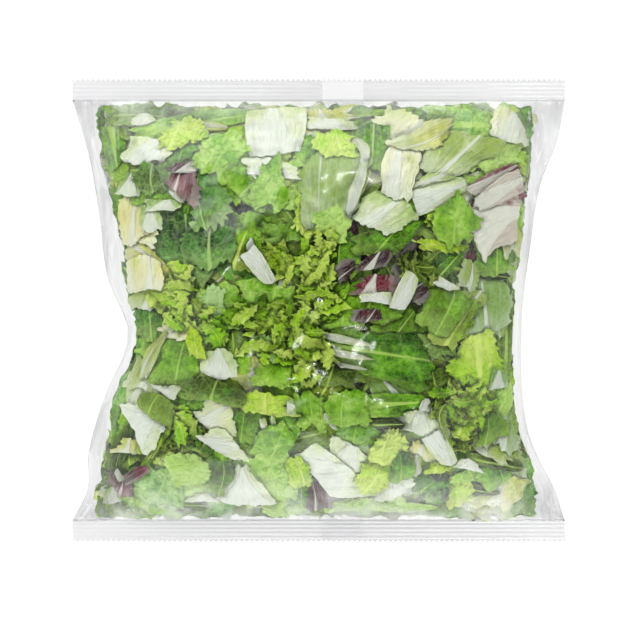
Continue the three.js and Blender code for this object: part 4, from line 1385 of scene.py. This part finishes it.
# %% Back seam
FIN_WALL = 0.06 * MM
FIN_BELOW = 0.22 * MM  # how far it lies below the skin
fin = bmesh.new()
made = bmesh.ops.create_grid(fin, x_segments=10, y_segments=150, size=1)
flat = np.array([vert.co[:2] for vert in made["verts"]])
x = FIN_START + FIN_WIDTH * (flat[:, 0] + 1) / 2
y = np.minimum(flat[:, 1] * (cad_high.y - 1.2 * MM), root_y - 1 * MM)
inner_y = np.clip(y, -root_y, root_y)
z = np.where(np.abs(y) < root_y, film_back(x, inner_y), seal_level - LINE_RISE)
z = np.maximum(z - FIN_BELOW, FIN_WALL)  # and never lower than its own wall over the table
for vert, place in zip(made["verts"], zip(x, y, z)):
    vert.co = place
bmesh.ops.reverse_faces(fin, faces=fin.faces)
back_fin = finished("back_fin", fin, fin_film)
doubled = back_fin.modifiers.new("doubled", "SOLIDIFY")
doubled.thickness = FIN_WALL
doubled.offset = 0

# %% [markdown]
# ## Table, light and camera
# The bag lies on a plain white table that glows a little, as a studio's light table does, so that the clear
# film reads as grey against it.

# %% Table
TABLE_HALF = 6  # from its middle to its edge, in m
GLOW = 0.93
floor_mesh = bmesh.new()
bmesh.ops.create_grid(floor_mesh, x_segments=1, y_segments=1, size=TABLE_HALF)
floor_data = bpy.data.meshes.new("table")
floor_mesh.to_mesh(floor_data)
floor_mesh.free()
table = bpy.data.objects.new("table", floor_data)
bpy.context.scene.collection.objects.link(table)
table_material, tree, output = new_material("white_table")
paint = node(tree, "BsdfDiffuse", {"Color": (0.12, 0.12, 0.12, 1)})
lit = node(tree, "Emission", {"Color": (1, 1, 1, 1), "Strength": GLOW})
both = node(tree, "AddShader", {0: paint.outputs[0], 1: lit.outputs[0]})
tree.links.new(both.outputs[0], output.inputs["Surface"])
floor_data.materials.append(table_material)
print("the table is", 2 * TABLE_HALF, "m wide and glows at", GLOW)

# %% [markdown]
# Two long softboxes at the bag's head and foot give the film its pale sheen where it slopes. Four small lamps
# higher up give the small glints. The sky is bright near the horizon and dark overhead, so the film's level
# parts stay clear.

# %% Lights
SOFTBOXES = {
    "head_softbox": ((-0.4, 1.2, 0.75), (1.7, 0.9), 16),  # place, size and power
    "foot_softbox": ((0.2, -1.2, 0.6), (1.8, 0.8), 11),
}
GLINTS = ((-0.06, 1.31, 1.22), (-0.69, 0.15, 1.64), (0.0, -0.55, 1.68), (0.16, -0.8, 1.58))
GLINT_SIZE, GLINT_POWER = (0.14, 0.05), 0.9


def softbox(name, place, size, power):
    """A rectangular lamp that faces the bag."""
    light = bpy.data.lights.new(name, "AREA")
    light.shape = "RECTANGLE"
    light.size, light.size_y = size
    light.energy = power
    lamp = bpy.data.objects.new(name, light)
    bpy.context.scene.collection.objects.link(lamp)
    lamp.location = place
    lamp.rotation_euler = (-Vector(place)).to_track_quat("-Z", "Y").to_euler()


for name, (place, size, power) in SOFTBOXES.items():
    softbox(name, place, size, power)
for number, place in enumerate(GLINTS):
    softbox(f"glint_lamp_{number + 1}", place, GLINT_SIZE, GLINT_POWER)

world = bpy.data.worlds.new("studio")
bpy.context.scene.world = world
world.use_nodes = True
tree = world.node_tree
tree.nodes.clear()
direction = node(tree, "SeparateXYZ", {0: node(tree, "TexCoord").outputs["Generated"]})
walls = smooth(tree, direction.outputs[2], 0.5, 0.95, 1.5, 0.05)
sky = node(tree, "Background", {"Color": (1, 1, 1, 1), "Strength": walls})
tree.links.new(sky.outputs[0], tree.nodes.new("ShaderNodeOutputWorld").inputs["Surface"])
print("lamps:", len(bpy.data.lights))

# %% [markdown]
# The camera looks straight down from high above, with a long lens, so that the bag's sides hardly lean.

# %% Camera
SEEN_WIDTH = 325 * MM
CAMERA_HEIGHT = 2.4
SENSOR = 36
camera_data = bpy.data.cameras.new("camera")
camera_data.sensor_width = SENSOR
camera_data.lens = SENSOR * CAMERA_HEIGHT / SEEN_WIDTH
camera = bpy.data.objects.new("camera", camera_data)
bpy.context.scene.collection.objects.link(camera)
camera.location = (0.7 * MM, -4.9 * MM, seal_level + CAMERA_HEIGHT)
bpy.context.scene.camera = camera
bpy.context.scene.view_settings.view_transform = "Standard"
bpy.context.scene.view_settings.exposure = 0.0
print("lens:", round(camera_data.lens), "mm")
